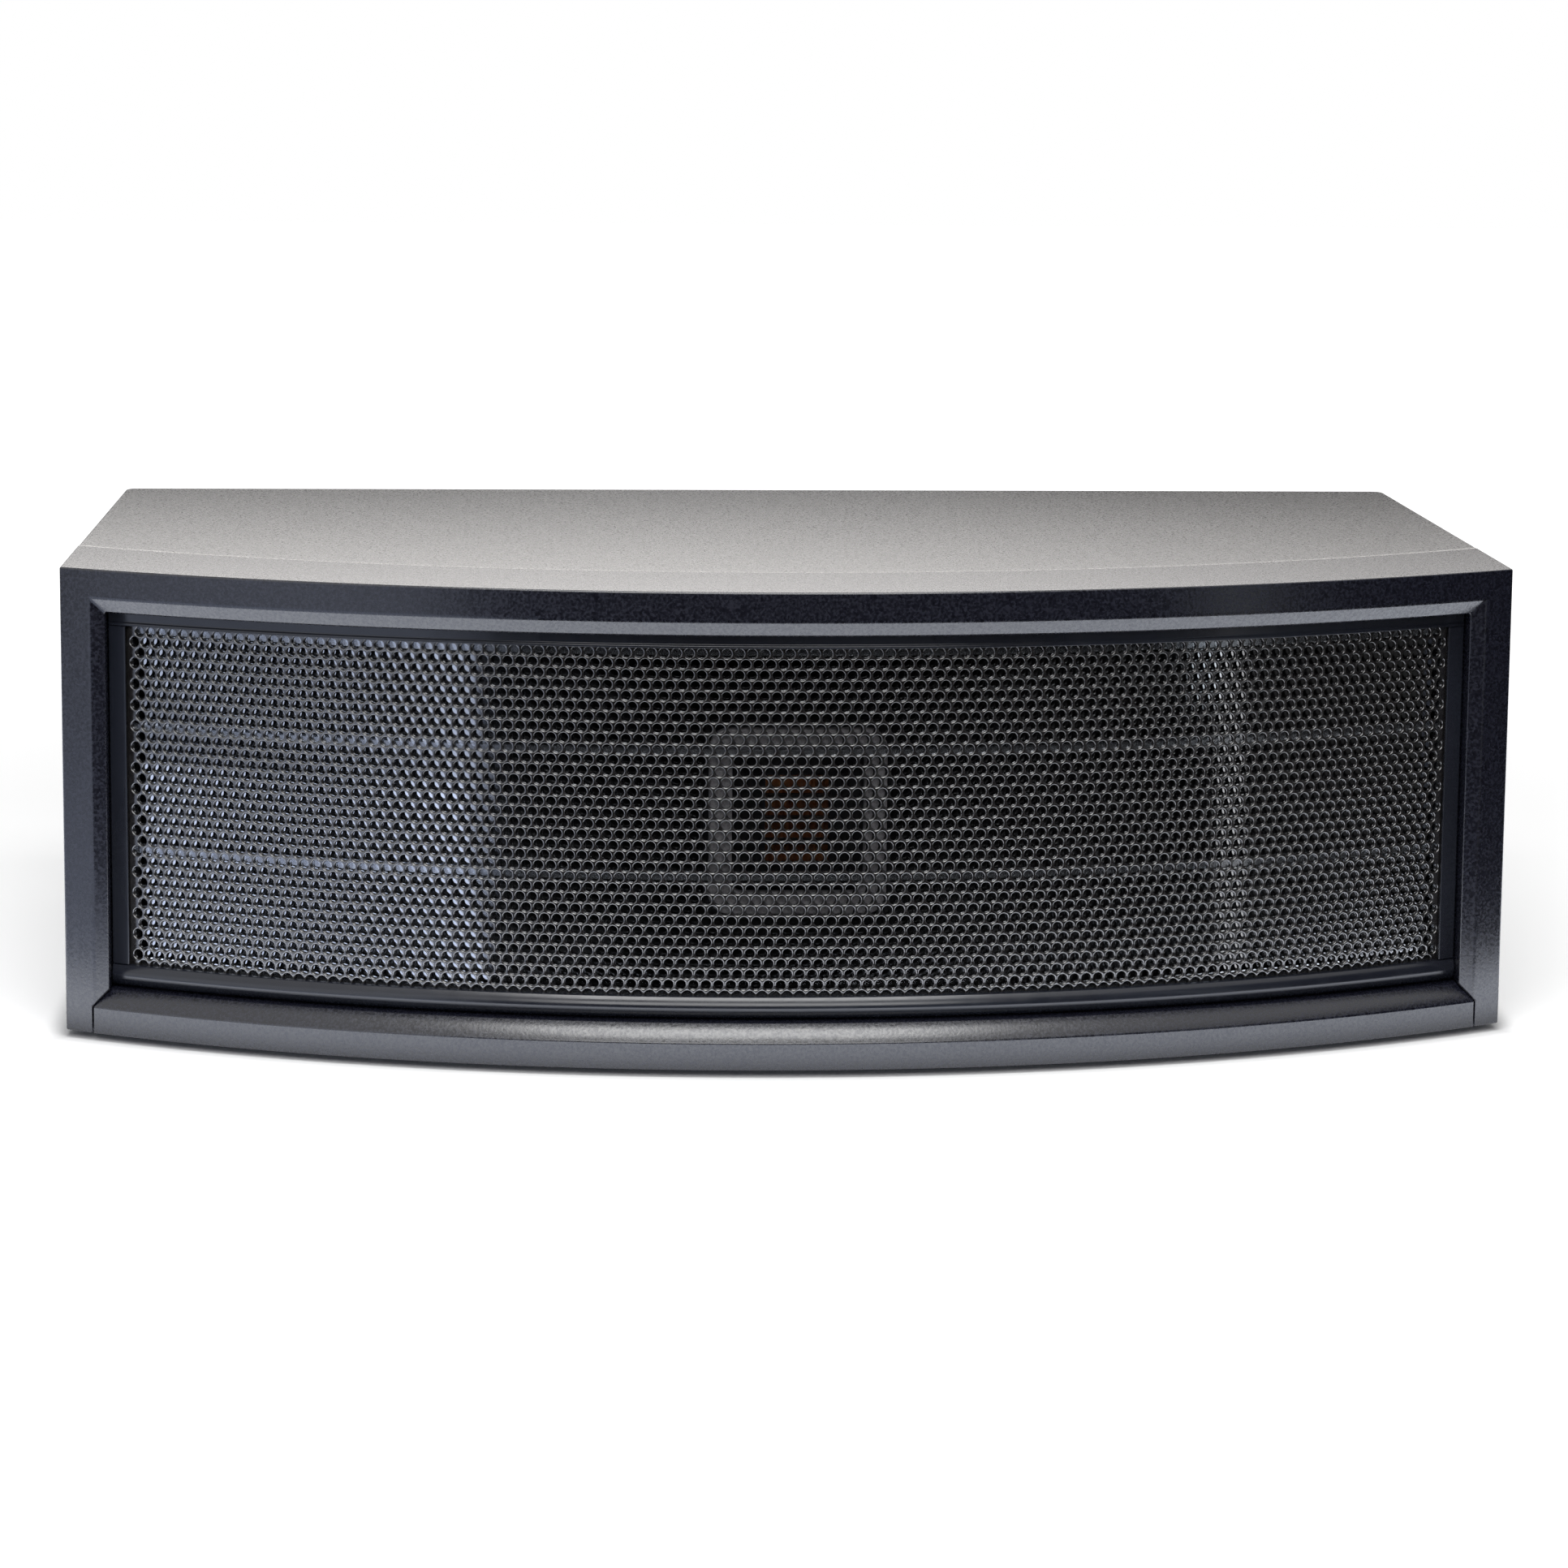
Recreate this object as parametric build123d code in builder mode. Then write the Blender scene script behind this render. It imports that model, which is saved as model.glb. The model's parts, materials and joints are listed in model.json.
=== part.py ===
"""Center channel loudspeaker with a bowed, perforated electrostatic panel.

Millimetres. +X is the listener's right, +Y runs from front to back, +Z is up.
The origin is the middle of the footprint, on the surface that the feet stand on.
"""
import os
from math import cos, pi, sin, sqrt

from build123d import *

# Overall sizes
WIDTH = 570.0
CABINET_HEIGHT = 184.0
FRONT_BOW = 70.0
SIDE_DEPTH = 266.0
BOARD = 12.0
REAR_CORNER_RADIUS = 5.0
FIT = 0.3
LAYER_GAP = 0.1

# Front bezel and lower rail
BEZEL_DEPTH = 56.0
SEAM_GAP = 0.4
TOP_FACE = 11.3
LEG_FACE = 11.8
BEZEL_CHAMFER = 6.0
FRONT_EDGE_RADIUS = 1.0
TONGUE_LENGTH = 8.0
RAIL_FACE = 10.5
RAIL_CHAMFER = 6.5
RAIL_GAP = 0.4

# Trim strips in the opening
TRIM_TOP = 5.6
TRIM_SIDE = 6.9
TRIM_BOTTOM = 8.6
TRIM_THICKNESS = 3.0
BOTTOM_TRIM_THICKNESS = 5.0

# Electrostatic panel, counted back from the bezel's front surface
PANEL_RECESS = 14.0
STATOR_THICKNESS = 2.0
SPACER_THICKNESS = 2.0
SPACER_BORDER = 9.0
FILM_THICKNESS = 0.4
SPAR_HEIGHT = 3.0
UPPER_SPAR_RISE = 28.0
LOWER_SPAR_DROP = 20.0
FRONT_HOLE_PITCH = 23.8
FRONT_HOLE_ACROSS = 16.7
REAR_HOLE_PITCH = 38.1
REAR_HOLE_ACROSS = 27.0
HOLE_MARGIN = 4.0

# Curved baffle
BAFFLE_GAP = 6.0
BAFFLE_THICKNESS = 15.0
BAFFLE_RIM = 8.0

# Tweeter
TWEETER_PLATE_WIDTH = 72.0
TWEETER_PLATE_HEIGHT = 78.0
TWEETER_PLATE_THICKNESS = 4.0
TWEETER_PLATE_CORNER = 6.0
TWEETER_WINDOW_WIDTH = 25.0
TWEETER_WINDOW_HEIGHT = 35.0
TWEETER_BAR = 2.0
TWEETER_SCREW_SIDE = 5.5
TWEETER_SCREW_RISE = 3.5
FOAM_WIDTH = 68.6
FOAM_HEIGHT = 72.7
FOAM_BORDER = 9.5
FOAM_CORNER = 16.0
FOAM_CLEARANCE = 0.5
PLEATS = 9
PLEAT_DEPTH = 3.0
PLEAT_FILM = 0.6
TWEETER_MAGNET_WIDTH = 58.0
TWEETER_MAGNET_HEIGHT = 60.0
TWEETER_MAGNET_DEPTH = 22.0

# Woofers
WOOFER_MARGIN = 2.5
WOOFER_SPACING = 12.0
SEAT_STEP = 2.4
FLANGE_THICKNESS = 4.0
BASKET_DEPTH = 32.0
BASKET_WALL = 3.0
BASKET_WINDOWS = 4
BASKET_WINDOW_WIDTH = 22.0
MAGNET_INSET = 28.0
MAGNET_THICKNESS = 14.0
MAGNET_BORE = 15.0
YOKE_THICKNESS = 5.0
YOKE_INSET = 2.0
POLE_RADIUS = 11.8
POLE_HEIGHT = 22.0
COIL_RADIUS = 13.0
COIL_WALL = 0.6
COIL_LENGTH = 17.0
CONE_THICKNESS = 1.0
CONE_NECK_DEPTH = 18.0
ROLL_RADIUS = 4.5
ROLL_WALL = 0.8
LIP_WIDTH = 3.0
DUST_CAP_LAP = 5.0
DUST_CAP_RISE = 5.0
SPIDER_THICKNESS = 0.8
SPIDER_HEIGHT = 8.0
WOOFER_SCREWS = 4

# Fasteners
SCREW_RADIUS = 2.0
SCREW_HEAD_RADIUS = 3.6
SCREW_HEAD_HEIGHT = 1.8
SCREW_LENGTH = 9.0
SCREW_INSET = 4.4

# Rear of the cabinet
CLEAT = 12.0
CLEAT_CLEARANCE = 30.0
REAR_SCREW_SPACING = 150.0
REAR_SCREW_COUNT = 4
REAR_SCREW_LENGTH = 20.0
PLATE_WIDTH = 120.0
PLATE_HEIGHT = 70.0
PLATE_THICKNESS = 3.0
PLATE_CORNER = 8.0
PLATE_FLANGE = 12.0
POST_SPACING = 19.05
POST_RADIUS = 3.0
POST_BORE_RADIUS = 2.0
POST_BORE_DEPTH = 16.0
POST_TAIL = 14.0
INSULATOR_RADIUS = 7.0
INSULATOR_THICKNESS = 4.0
SHOULDER_RADIUS = 5.5
SHOULDER_THICKNESS = 1.5
CAP_RADIUS = 7.5
CAP_LENGTH = 16.0
CAP_GROOVES = 12
CAP_GROOVE_WIDTH = 1.3
CAP_GROOVE_DEPTH = 0.9
CAP_RUNNING_GAP = 0.3
CAP_END_LAP = 1.0
NUT_ACROSS = 10.0
NUT_THICKNESS = 5.0
INLET_OFFSET = 38.0
INLET_RADIUS = 5.5
INLET_FLANGE_RADIUS = 7.5
INLET_FLANGE = 2.0
INLET_BODY_LENGTH = 15.0
INLET_BORE_RADIUS = 3.1
INLET_BORE_DEPTH = 10.0
INLET_PIN_RADIUS = 1.05

# Electronics on the cabinet floor
CROSSOVER_WIDTH = 160.0
CROSSOVER_DEPTH = 90.0
CROSSOVER_OFFSET = -130.0
CROSSOVER_SETBACK = 80.0
BIAS_WIDTH = 90.0
BIAS_DEPTH = 60.0
BIAS_OFFSET = 165.0
BIAS_SETBACK = 65.0
BOARD_THICKNESS = 1.6
STANDOFF_HEIGHT = 6.0
STANDOFF_RADIUS = 3.0
STANDOFF_INSET = 6.0
INDUCTOR_RADIUS = 22.0
INDUCTOR_BORE = 9.0
INDUCTOR_HEIGHT = 20.0
INDUCTOR_SPACING = 60.0
CAPACITOR_RADIUS = 9.0
CAPACITOR_LENGTH = 34.0
CAPACITOR_SPACING = 44.0
TRANSFORMER_WIDTH = 56.0
TRANSFORMER_DEPTH = 32.0
TRANSFORMER_HEIGHT = 48.0
TRANSFORMER_COIL_LAP = 8.0
TRANSFORMER_OFFSET = 60.0
TRANSFORMER_SETBACK = 75.0

# Feet
FOOT_HEIGHT = 3.0
FOOT_RADIUS = 10.0
FOOT_INSET = 45.0
FRONT_FOOT_SETBACK = 80.0
REAR_FOOT_INSET = 28.0

# Levels and half widths that follow from the sizes above
HALF_WIDTH = WIDTH / 2
BASE = FOOT_HEIGHT
TOP = BASE + CABINET_HEIGHT
OPENING_HALF = HALF_WIDTH - LEG_FACE - BEZEL_CHAMFER
OPENING_TOP = TOP - TOP_FACE - BEZEL_CHAMFER
RAIL_TOP = BASE + RAIL_FACE + RAIL_CHAMFER
RAIL_HALF = OPENING_HALF + RAIL_CHAMFER
PANEL_HALF = OPENING_HALF - FIT
PANEL_BOTTOM = RAIL_TOP + FIT
PANEL_TOP = OPENING_TOP - FIT
PANEL_HEIGHT = PANEL_TOP - PANEL_BOTTOM
MIDDLE = (PANEL_BOTTOM + PANEL_TOP) / 2
FLOOR = BASE + BOARD
CEILING = TOP - BOARD
INSIDE_HALF = HALF_WIDTH - BOARD

# Places along Y
POST_REACH = PLATE_THICKNESS + INSULATOR_THICKNESS + SHOULDER_THICKNESS + CAP_RUNNING_GAP + CAP_LENGTH
APEX_Y = -(FRONT_BOW + SIDE_DEPTH + POST_REACH) / 2
CORNER_Y = APEX_Y + FRONT_BOW
BACK_Y = CORNER_Y + SIDE_DEPTH
PLATE_Y = BACK_Y + PLATE_THICKNESS

# Radii of the layers, which all share the front's axis
FRONT_RADIUS = (HALF_WIDTH**2 + FRONT_BOW**2) / (2 * FRONT_BOW)
AXIS_Y = APEX_Y + FRONT_RADIUS
SEAM_RADIUS = FRONT_RADIUS - BEZEL_DEPTH
PANEL_RADIUS = FRONT_RADIUS - PANEL_RECESS
FRONT_SPACER_RADIUS = PANEL_RADIUS - STATOR_THICKNESS - LAYER_GAP
FILM_RADIUS = FRONT_SPACER_RADIUS - SPACER_THICKNESS - LAYER_GAP
REAR_SPACER_RADIUS = FILM_RADIUS - FILM_THICKNESS - LAYER_GAP
REAR_STATOR_RADIUS = REAR_SPACER_RADIUS - SPACER_THICKNESS - LAYER_GAP
RIM_RADIUS = REAR_STATOR_RADIUS - STATOR_THICKNESS - LAYER_GAP
BAFFLE_RADIUS = RIM_RADIUS - BAFFLE_GAP

# Driver seats
FLANGE_RADIUS = PANEL_HEIGHT / 2 - BAFFLE_RIM - WOOFER_MARGIN
POCKET_RADIUS = FLANGE_RADIUS + FIT
SEAT_RADIUS = sqrt(BAFFLE_RADIUS**2 - POCKET_RADIUS**2) - SEAT_STEP
WOOFER_ARC = TWEETER_PLATE_WIDTH / 2 + WOOFER_SPACING + FLANGE_RADIUS
WOOFER_ANGLE = WOOFER_ARC / BAFFLE_RADIUS
SCREW_CIRCLE = FLANGE_RADIUS - SCREW_INSET
LIP_RADIUS = SCREW_CIRCLE - SCREW_HEAD_RADIUS - FIT
BASKET_THROAT = LIP_RADIUS - LIP_WIDTH
BASKET_OUTER = BASKET_THROAT + BASKET_WALL
CONE_EDGE = BASKET_THROAT - 2 * ROLL_RADIUS
MAGNET_RADIUS = FLANGE_RADIUS - MAGNET_INSET
CONE_NECK = COIL_RADIUS + COIL_WALL + LAYER_GAP
PLATE_SEAT_RADIUS = sqrt(BAFFLE_RADIUS**2 - (TWEETER_PLATE_WIDTH / 2) ** 2) - SEAT_STEP
TWEETER_FACE_RADIUS = PLATE_SEAT_RADIUS + TWEETER_PLATE_THICKNESS
FOAM_THICKNESS = sqrt(RIM_RADIUS**2 - (FOAM_WIDTH / 2) ** 2) - TWEETER_FACE_RADIUS - FOAM_CLEARANCE

PART_FOLDER = "parts"
os.makedirs(PART_FOLDER, exist_ok=True)


def finish(builder, name):
    """Label a finished piece and write it to its own file."""
    builder.part.label = name
    export_step(builder.part, f"{PART_FOLDER}/{name}.step")


def arc_y(radius, x):
    """Y of the arc of this radius about the front's axis, at this X."""
    return AXIS_Y - sqrt(radius**2 - x**2)


def arc_band(front_radius, back_radius, half_width, level):
    """Plan of a bowed strip between two arcs about the front's axis."""
    with BuildSketch(Plane.XY.offset(level)) as plan:
        with BuildLine():
            front = ThreePointArc(
                (-half_width, arc_y(front_radius, half_width)),
                (0, AXIS_Y - front_radius),
                (half_width, arc_y(front_radius, half_width)),
            )
            back = ThreePointArc(
                (-half_width, arc_y(back_radius, half_width)),
                (0, AXIS_Y - back_radius),
                (half_width, arc_y(back_radius, half_width)),
            )
            Line(front @ 0, back @ 0)
            Line(front @ 1, back @ 1)
        make_face()
    return plan.sketch


def board_plan(radius, level):
    """Plan of a cabinet board with a bowed front edge and rounded rear corners."""
    with BuildSketch(Plane.XY.offset(level)) as plan:
        with BuildLine():
            front = ThreePointArc(
                (-HALF_WIDTH, arc_y(radius, HALF_WIDTH)),
                (0, AXIS_Y - radius),
                (HALF_WIDTH, arc_y(radius, HALF_WIDTH)),
            )
            Polyline(front @ 0, (-HALF_WIDTH, BACK_Y), (HALF_WIDTH, BACK_Y), front @ 1)
        make_face()
        fillet(plan.vertices().group_by(Axis.Y)[-1], REAR_CORNER_RADIUS)
    return plan.sketch


def front_view(y):
    """Upright plane at this Y, facing the listener."""
    return Plane(origin=(0, y, 0), x_dir=(1, 0, 0), z_dir=(0, -1, 0))


def rear_view(y):
    """Upright plane at this Y, facing the rear wall; its local x runs to the left of the front."""
    return Plane(origin=(0, y, 0), x_dir=(-1, 0, 0), z_dir=(0, 1, 0))


def radial_plane(radius, angle):
    """Plane square to the front's radius at this angle, facing out, at the panel's mid height."""
    return Plane(
        origin=(radius * sin(angle), AXIS_Y - radius * cos(angle), MIDDLE),
        x_dir=(cos(angle), sin(angle), 0),
        z_dir=(sin(angle), -cos(angle), 0),
    )


def profile_plane(seat):
    """Plane for a turned profile: local x is the radius, local y runs out along the seat's axis."""
    return Plane(origin=seat.origin, x_dir=seat.x_dir, z_dir=seat.x_dir.cross(seat.z_dir))


def turned(seat, points):
    """Part turned about a seat's axis from a profile of (radius, height) points."""
    with BuildPart() as piece:
        with BuildSketch(profile_plane(seat)):
            with BuildLine():
                Polyline(*points, close=True)
            make_face()
        revolve(axis=Axis(seat.origin, seat.z_dir))
    return piece


def shifted(plane, x, y):
    """The same plane, moved by local x and y."""
    return Plane(origin=plane.from_local_coords((x, y, 0)), x_dir=plane.x_dir, z_dir=plane.z_dir)


def screws(places, length=SCREW_LENGTH):
    """Group of round-headed screws; each place is a plane at the underside of a head."""
    with BuildPart() as group:
        for place in places:
            with BuildSketch(place):
                Circle(SCREW_HEAD_RADIUS)
        extrude(amount=SCREW_HEAD_HEIGHT)
        for place in places:
            with BuildSketch(place):
                Circle(SCREW_RADIUS)
        extrude(amount=-length)
    return group


def screw_holes(places, length=SCREW_LENGTH):
    """Solids that clear the shanks of the screws at these places."""
    with BuildPart() as group:
        for place in places:
            with BuildSketch(place):
                Circle(SCREW_RADIUS + LAYER_GAP)
        extrude(amount=-length - LAYER_GAP)
    return group.part


# Places of the drivers and of the screws that hold them
WOOFER_SEATS = {
    "left": radial_plane(SEAT_RADIUS, -WOOFER_ANGLE),
    "right": radial_plane(SEAT_RADIUS, WOOFER_ANGLE),
}
TWEETER_SEAT = radial_plane(PLATE_SEAT_RADIUS, 0)
TWEETER_FACE = radial_plane(TWEETER_FACE_RADIUS, 0)
WOOFER_SCREW_PLACES = {}
for side, seat in WOOFER_SEATS.items():
    flange_front = seat.offset(FLANGE_THICKNESS)
    WOOFER_SCREW_PLACES[side] = []
    for number in range(WOOFER_SCREWS):
        turn = 2 * pi * (number + 0.5) / WOOFER_SCREWS
        place = shifted(flange_front, SCREW_CIRCLE * cos(turn), SCREW_CIRCLE * sin(turn))
        WOOFER_SCREW_PLACES[side].append(place)
TWEETER_SCREW_PLACES = []
for across in (-1, 1):
    for rise in (-1, 1):
        screw_x = across * (TWEETER_WINDOW_WIDTH / 2 + TWEETER_SCREW_SIDE)
        screw_z = rise * (TWEETER_WINDOW_HEIGHT / 2 + TWEETER_SCREW_RISE)
        TWEETER_SCREW_PLACES.append(shifted(TWEETER_FACE, screw_x, screw_z))
REAR_SCREW_PLACES = []
for level in (FLOOR + CLEAT / 2, CEILING - CLEAT / 2):
    for number in range(REAR_SCREW_COUNT):
        screw_x = (number - (REAR_SCREW_COUNT - 1) / 2) * REAR_SCREW_SPACING
        REAR_SCREW_PLACES.append(shifted(rear_view(BACK_Y), screw_x, level))
PLATE_SCREW_PLACES = []
for across in (-1, 1):
    for rise in (-1, 1):
        screw_x = across * (PLATE_WIDTH - PLATE_FLANGE) / 2
        screw_z = rise * (PLATE_HEIGHT - PLATE_FLANGE) / 2 + MIDDLE
        PLATE_SCREW_PLACES.append(shifted(rear_view(PLATE_Y), screw_x, screw_z))


# Front bezel: one arch of a top and two legs, with a tongue that enters the cabinet
with BuildPart() as front_bezel:
    extrude(arc_band(FRONT_RADIUS, SEAM_RADIUS, HALF_WIDTH, BASE), amount=CABINET_HEIGHT)
    fillet(
        front_bezel.edges().filter_by(GeomType.CIRCLE).group_by(Axis.Z)[-1].sort_by(SortBy.RADIUS)[-1],
        FRONT_EDGE_RADIUS,
    )
    extrude(
        arc_band(SEAM_RADIUS, SEAM_RADIUS - TONGUE_LENGTH, INSIDE_HALF - FIT, FLOOR + FIT),
        amount=CEILING - FLOOR - 2 * FIT,
    )
    with BuildSketch(front_view(AXIS_Y)):
        with BuildLine():
            Polyline(
                (-RAIL_HALF - RAIL_GAP, 0),
                (-RAIL_HALF - RAIL_GAP, RAIL_TOP - RAIL_CHAMFER),
                (-OPENING_HALF, RAIL_TOP + RAIL_GAP),
                (-OPENING_HALF, OPENING_TOP),
                (OPENING_HALF, OPENING_TOP),
                (OPENING_HALF, RAIL_TOP + RAIL_GAP),
                (RAIL_HALF + RAIL_GAP, RAIL_TOP - RAIL_CHAMFER),
                (RAIL_HALF + RAIL_GAP, 0),
                close=True,
            )
        make_face()
    extrude(amount=2 * FRONT_RADIUS, mode=Mode.SUBTRACT)
    front_face = front_bezel.faces().filter_by(GeomType.CYLINDER).sort_by(SortBy.AREA)[-1]
    chamfer(
        front_face.edges()
        .filter_by_position(Axis.Z, RAIL_TOP + RAIL_GAP, OPENING_TOP + LAYER_GAP)
        .filter_by_position(Axis.X, -OPENING_HALF - LAYER_GAP, OPENING_HALF + LAYER_GAP),
        BEZEL_CHAMFER,
    )
finish(front_bezel, "front_bezel")

# Lower rail: bowed bar whose angled ends meet the legs
with BuildPart() as lower_rail:
    extrude(arc_band(FRONT_RADIUS, SEAM_RADIUS, RAIL_HALF, BASE), amount=RAIL_TOP - BASE)
    with BuildSketch(front_view(AXIS_Y)):
        for side in (-1, 1):
            with BuildLine():
                Polyline(
                    (side * RAIL_HALF, RAIL_TOP - RAIL_CHAMFER),
                    (side * RAIL_HALF, RAIL_TOP),
                    (side * OPENING_HALF, RAIL_TOP),
                    close=True,
                )
            make_face()
    extrude(amount=2 * FRONT_RADIUS, mode=Mode.SUBTRACT)
    chamfer(
        lower_rail.edges().filter_by(GeomType.CIRCLE).group_by(Axis.Z)[-1].sort_by(SortBy.RADIUS)[-1],
        RAIL_CHAMFER,
    )
    extrude(
        arc_band(SEAM_RADIUS, SEAM_RADIUS - TONGUE_LENGTH, OPENING_HALF, FLOOR + FIT),
        amount=RAIL_TOP - FLOOR - FIT,
    )
finish(lower_rail, "lower_rail")

# Trim strips that frame the panel inside the opening
with BuildPart() as top_trim:
    extrude(
        arc_band(PANEL_RADIUS + TRIM_THICKNESS, PANEL_RADIUS + LAYER_GAP, PANEL_HALF, PANEL_TOP - TRIM_TOP),
        amount=TRIM_TOP,
    )
finish(top_trim, "top_trim")

with BuildPart() as bottom_trim:
    extrude(
        arc_band(PANEL_RADIUS + BOTTOM_TRIM_THICKNESS, PANEL_RADIUS + LAYER_GAP, PANEL_HALF, PANEL_BOTTOM),
        amount=TRIM_BOTTOM,
    )
finish(bottom_trim, "bottom_trim")

SIDE_TRIM_BOTTOM = PANEL_BOTTOM + TRIM_BOTTOM + LAYER_GAP
SIDE_TRIM_HEIGHT = PANEL_HEIGHT - TRIM_TOP - TRIM_BOTTOM - 2 * LAYER_GAP
for side, name in ((-1, "left_trim"), (1, "right_trim")):
    with BuildPart() as side_trim:
        extrude(
            arc_band(PANEL_RADIUS + TRIM_THICKNESS, PANEL_RADIUS + LAYER_GAP, PANEL_HALF, SIDE_TRIM_BOTTOM),
            amount=SIDE_TRIM_HEIGHT,
        )
        keep = Keep.TOP if side > 0 else Keep.BOTTOM
        split(bisect_by=Plane.YZ.offset(side * (PANEL_HALF - TRIM_SIDE)), keep=keep)
    finish(side_trim, name)


def perforated_panel(radius, pitch, across):
    """Rolled sheet with staggered six-sided holes punched square to its surface."""
    row_step = pitch * sqrt(3) / 2
    field_height = PANEL_HEIGHT - TRIM_TOP - TRIM_BOTTOM - 2 * HOLE_MARGIN
    field_arc = 2 * (PANEL_HALF - TRIM_SIDE - HOLE_MARGIN)
    rows = int((field_height - across) / row_step) + 1
    steps = int((field_arc - across) / pitch)
    field_middle = (TRIM_BOTTOM - TRIM_TOP) / 2
    heights = [field_middle + (row - (rows - 1) / 2) * row_step for row in range(rows)]
    with BuildPart() as panel:
        extrude(arc_band(radius, radius - STATOR_THICKNESS, PANEL_HALF, PANEL_BOTTOM), amount=PANEL_HEIGHT)
        for step in range(2 * steps + 1):
            angle = (step - steps) * pitch / 2 / radius
            with BuildSketch(radial_plane(radius + STATOR_THICKNESS, angle)):
                with Locations(*[(0, height) for height in heights[step % 2 :: 2]]):
                    RegularPolygon(across / 2, 6, major_radius=False, rotation=30)
        extrude(amount=-3 * STATOR_THICKNESS, mode=Mode.SUBTRACT)
    return panel


def spacer_frame(radius):
    """Thin frame that holds the film off a stator."""
    with BuildPart() as frame:
        extrude(arc_band(radius, radius - SPACER_THICKNESS, PANEL_HALF, PANEL_BOTTOM), amount=PANEL_HEIGHT)
        with BuildSketch(front_view(AXIS_Y)):
            with Locations((0, MIDDLE)):
                Rectangle(2 * (PANEL_HALF - SPACER_BORDER), PANEL_HEIGHT - 2 * SPACER_BORDER)
        extrude(amount=2 * FRONT_RADIUS, mode=Mode.SUBTRACT)
    return frame


# Electrostatic panel: stator, spacer, film, spacer and stator on one axis
finish(perforated_panel(PANEL_RADIUS, FRONT_HOLE_PITCH, FRONT_HOLE_ACROSS), "front_stator")
finish(spacer_frame(FRONT_SPACER_RADIUS), "front_spacer")
with BuildPart() as film:
    extrude(
        arc_band(FILM_RADIUS, FILM_RADIUS - FILM_THICKNESS, PANEL_HALF, PANEL_BOTTOM), amount=PANEL_HEIGHT
    )
finish(film, "diaphragm_film")
finish(spacer_frame(REAR_SPACER_RADIUS), "rear_spacer")
finish(perforated_panel(REAR_STATOR_RADIUS, REAR_HOLE_PITCH, REAR_HOLE_ACROSS), "rear_stator")

# Spars: flat clear strips across the spacer windows, in front of and behind the film
with BuildPart() as film_spars:
    for radius in (FRONT_SPACER_RADIUS, REAR_SPACER_RADIUS):
        for rise in (UPPER_SPAR_RISE, -LOWER_SPAR_DROP):
            extrude(
                arc_band(
                    radius,
                    radius - SPACER_THICKNESS,
                    PANEL_HALF - SPACER_BORDER - FIT,
                    MIDDLE + rise - SPAR_HEIGHT / 2,
                ),
                amount=SPAR_HEIGHT,
            )
finish(film_spars, "film_spars")

# Curved baffle: rim for the panel, flat pockets for the drivers
with BuildPart() as front_baffle:
    extrude(
        arc_band(RIM_RADIUS, BAFFLE_RADIUS - BAFFLE_THICKNESS, PANEL_HALF, PANEL_BOTTOM), amount=PANEL_HEIGHT
    )
    with BuildSketch(front_view(AXIS_Y)):
        with Locations((0, MIDDLE)):
            Rectangle(2 * (PANEL_HALF - BAFFLE_RIM), PANEL_HEIGHT - 2 * BAFFLE_RIM)
    extrude(amount=2 * FRONT_RADIUS, mode=Mode.SUBTRACT)
    extrude(
        arc_band(BAFFLE_RADIUS, BAFFLE_RADIUS - BAFFLE_THICKNESS, PANEL_HALF, PANEL_BOTTOM),
        amount=PANEL_HEIGHT,
    )
    for seat in WOOFER_SEATS.values():
        with BuildSketch(seat):
            Circle(POCKET_RADIUS)
        extrude(amount=BAFFLE_THICKNESS, mode=Mode.SUBTRACT)
        with BuildSketch(seat):
            Circle(BASKET_OUTER + FIT)
        extrude(amount=-2 * BAFFLE_THICKNESS, mode=Mode.SUBTRACT)
    for places in WOOFER_SCREW_PLACES.values():
        add(screw_holes(places), mode=Mode.SUBTRACT)
    with BuildSketch(TWEETER_SEAT):
        RectangleRounded(TWEETER_PLATE_WIDTH + 2 * FIT, TWEETER_PLATE_HEIGHT + 2 * FIT, TWEETER_PLATE_CORNER)
    extrude(amount=BAFFLE_THICKNESS, mode=Mode.SUBTRACT)
    with BuildSketch(TWEETER_SEAT):
        Rectangle(TWEETER_MAGNET_WIDTH + 2 * FIT, TWEETER_MAGNET_HEIGHT + 2 * FIT)
    extrude(amount=-2 * BAFFLE_THICKNESS, mode=Mode.SUBTRACT)
finish(front_baffle, "front_baffle")

# Tweeter: plate with cross bars, pleated film, magnet block and foam gasket
with BuildPart() as tweeter_plate:
    with BuildSketch(TWEETER_SEAT):
        RectangleRounded(TWEETER_PLATE_WIDTH, TWEETER_PLATE_HEIGHT, TWEETER_PLATE_CORNER)
        Rectangle(TWEETER_WINDOW_WIDTH, TWEETER_WINDOW_HEIGHT, mode=Mode.SUBTRACT)
        with GridLocations(0, TWEETER_WINDOW_HEIGHT / 4, 1, 3):
            Rectangle(TWEETER_WINDOW_WIDTH, TWEETER_BAR)
    extrude(amount=TWEETER_PLATE_THICKNESS)
    add(screw_holes(TWEETER_SCREW_PLACES), mode=Mode.SUBTRACT)
finish(tweeter_plate, "tweeter_plate")

with BuildPart() as tweeter_foam:
    with BuildSketch(TWEETER_FACE):
        RectangleRounded(FOAM_WIDTH, FOAM_HEIGHT, FOAM_CORNER)
        RectangleRounded(
            FOAM_WIDTH - 2 * FOAM_BORDER,
            FOAM_HEIGHT - 2 * FOAM_BORDER,
            FOAM_CORNER - FOAM_BORDER / 2,
            mode=Mode.SUBTRACT,
        )
    extrude(amount=FOAM_THICKNESS)
finish(tweeter_foam, "tweeter_foam_gasket")

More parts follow.
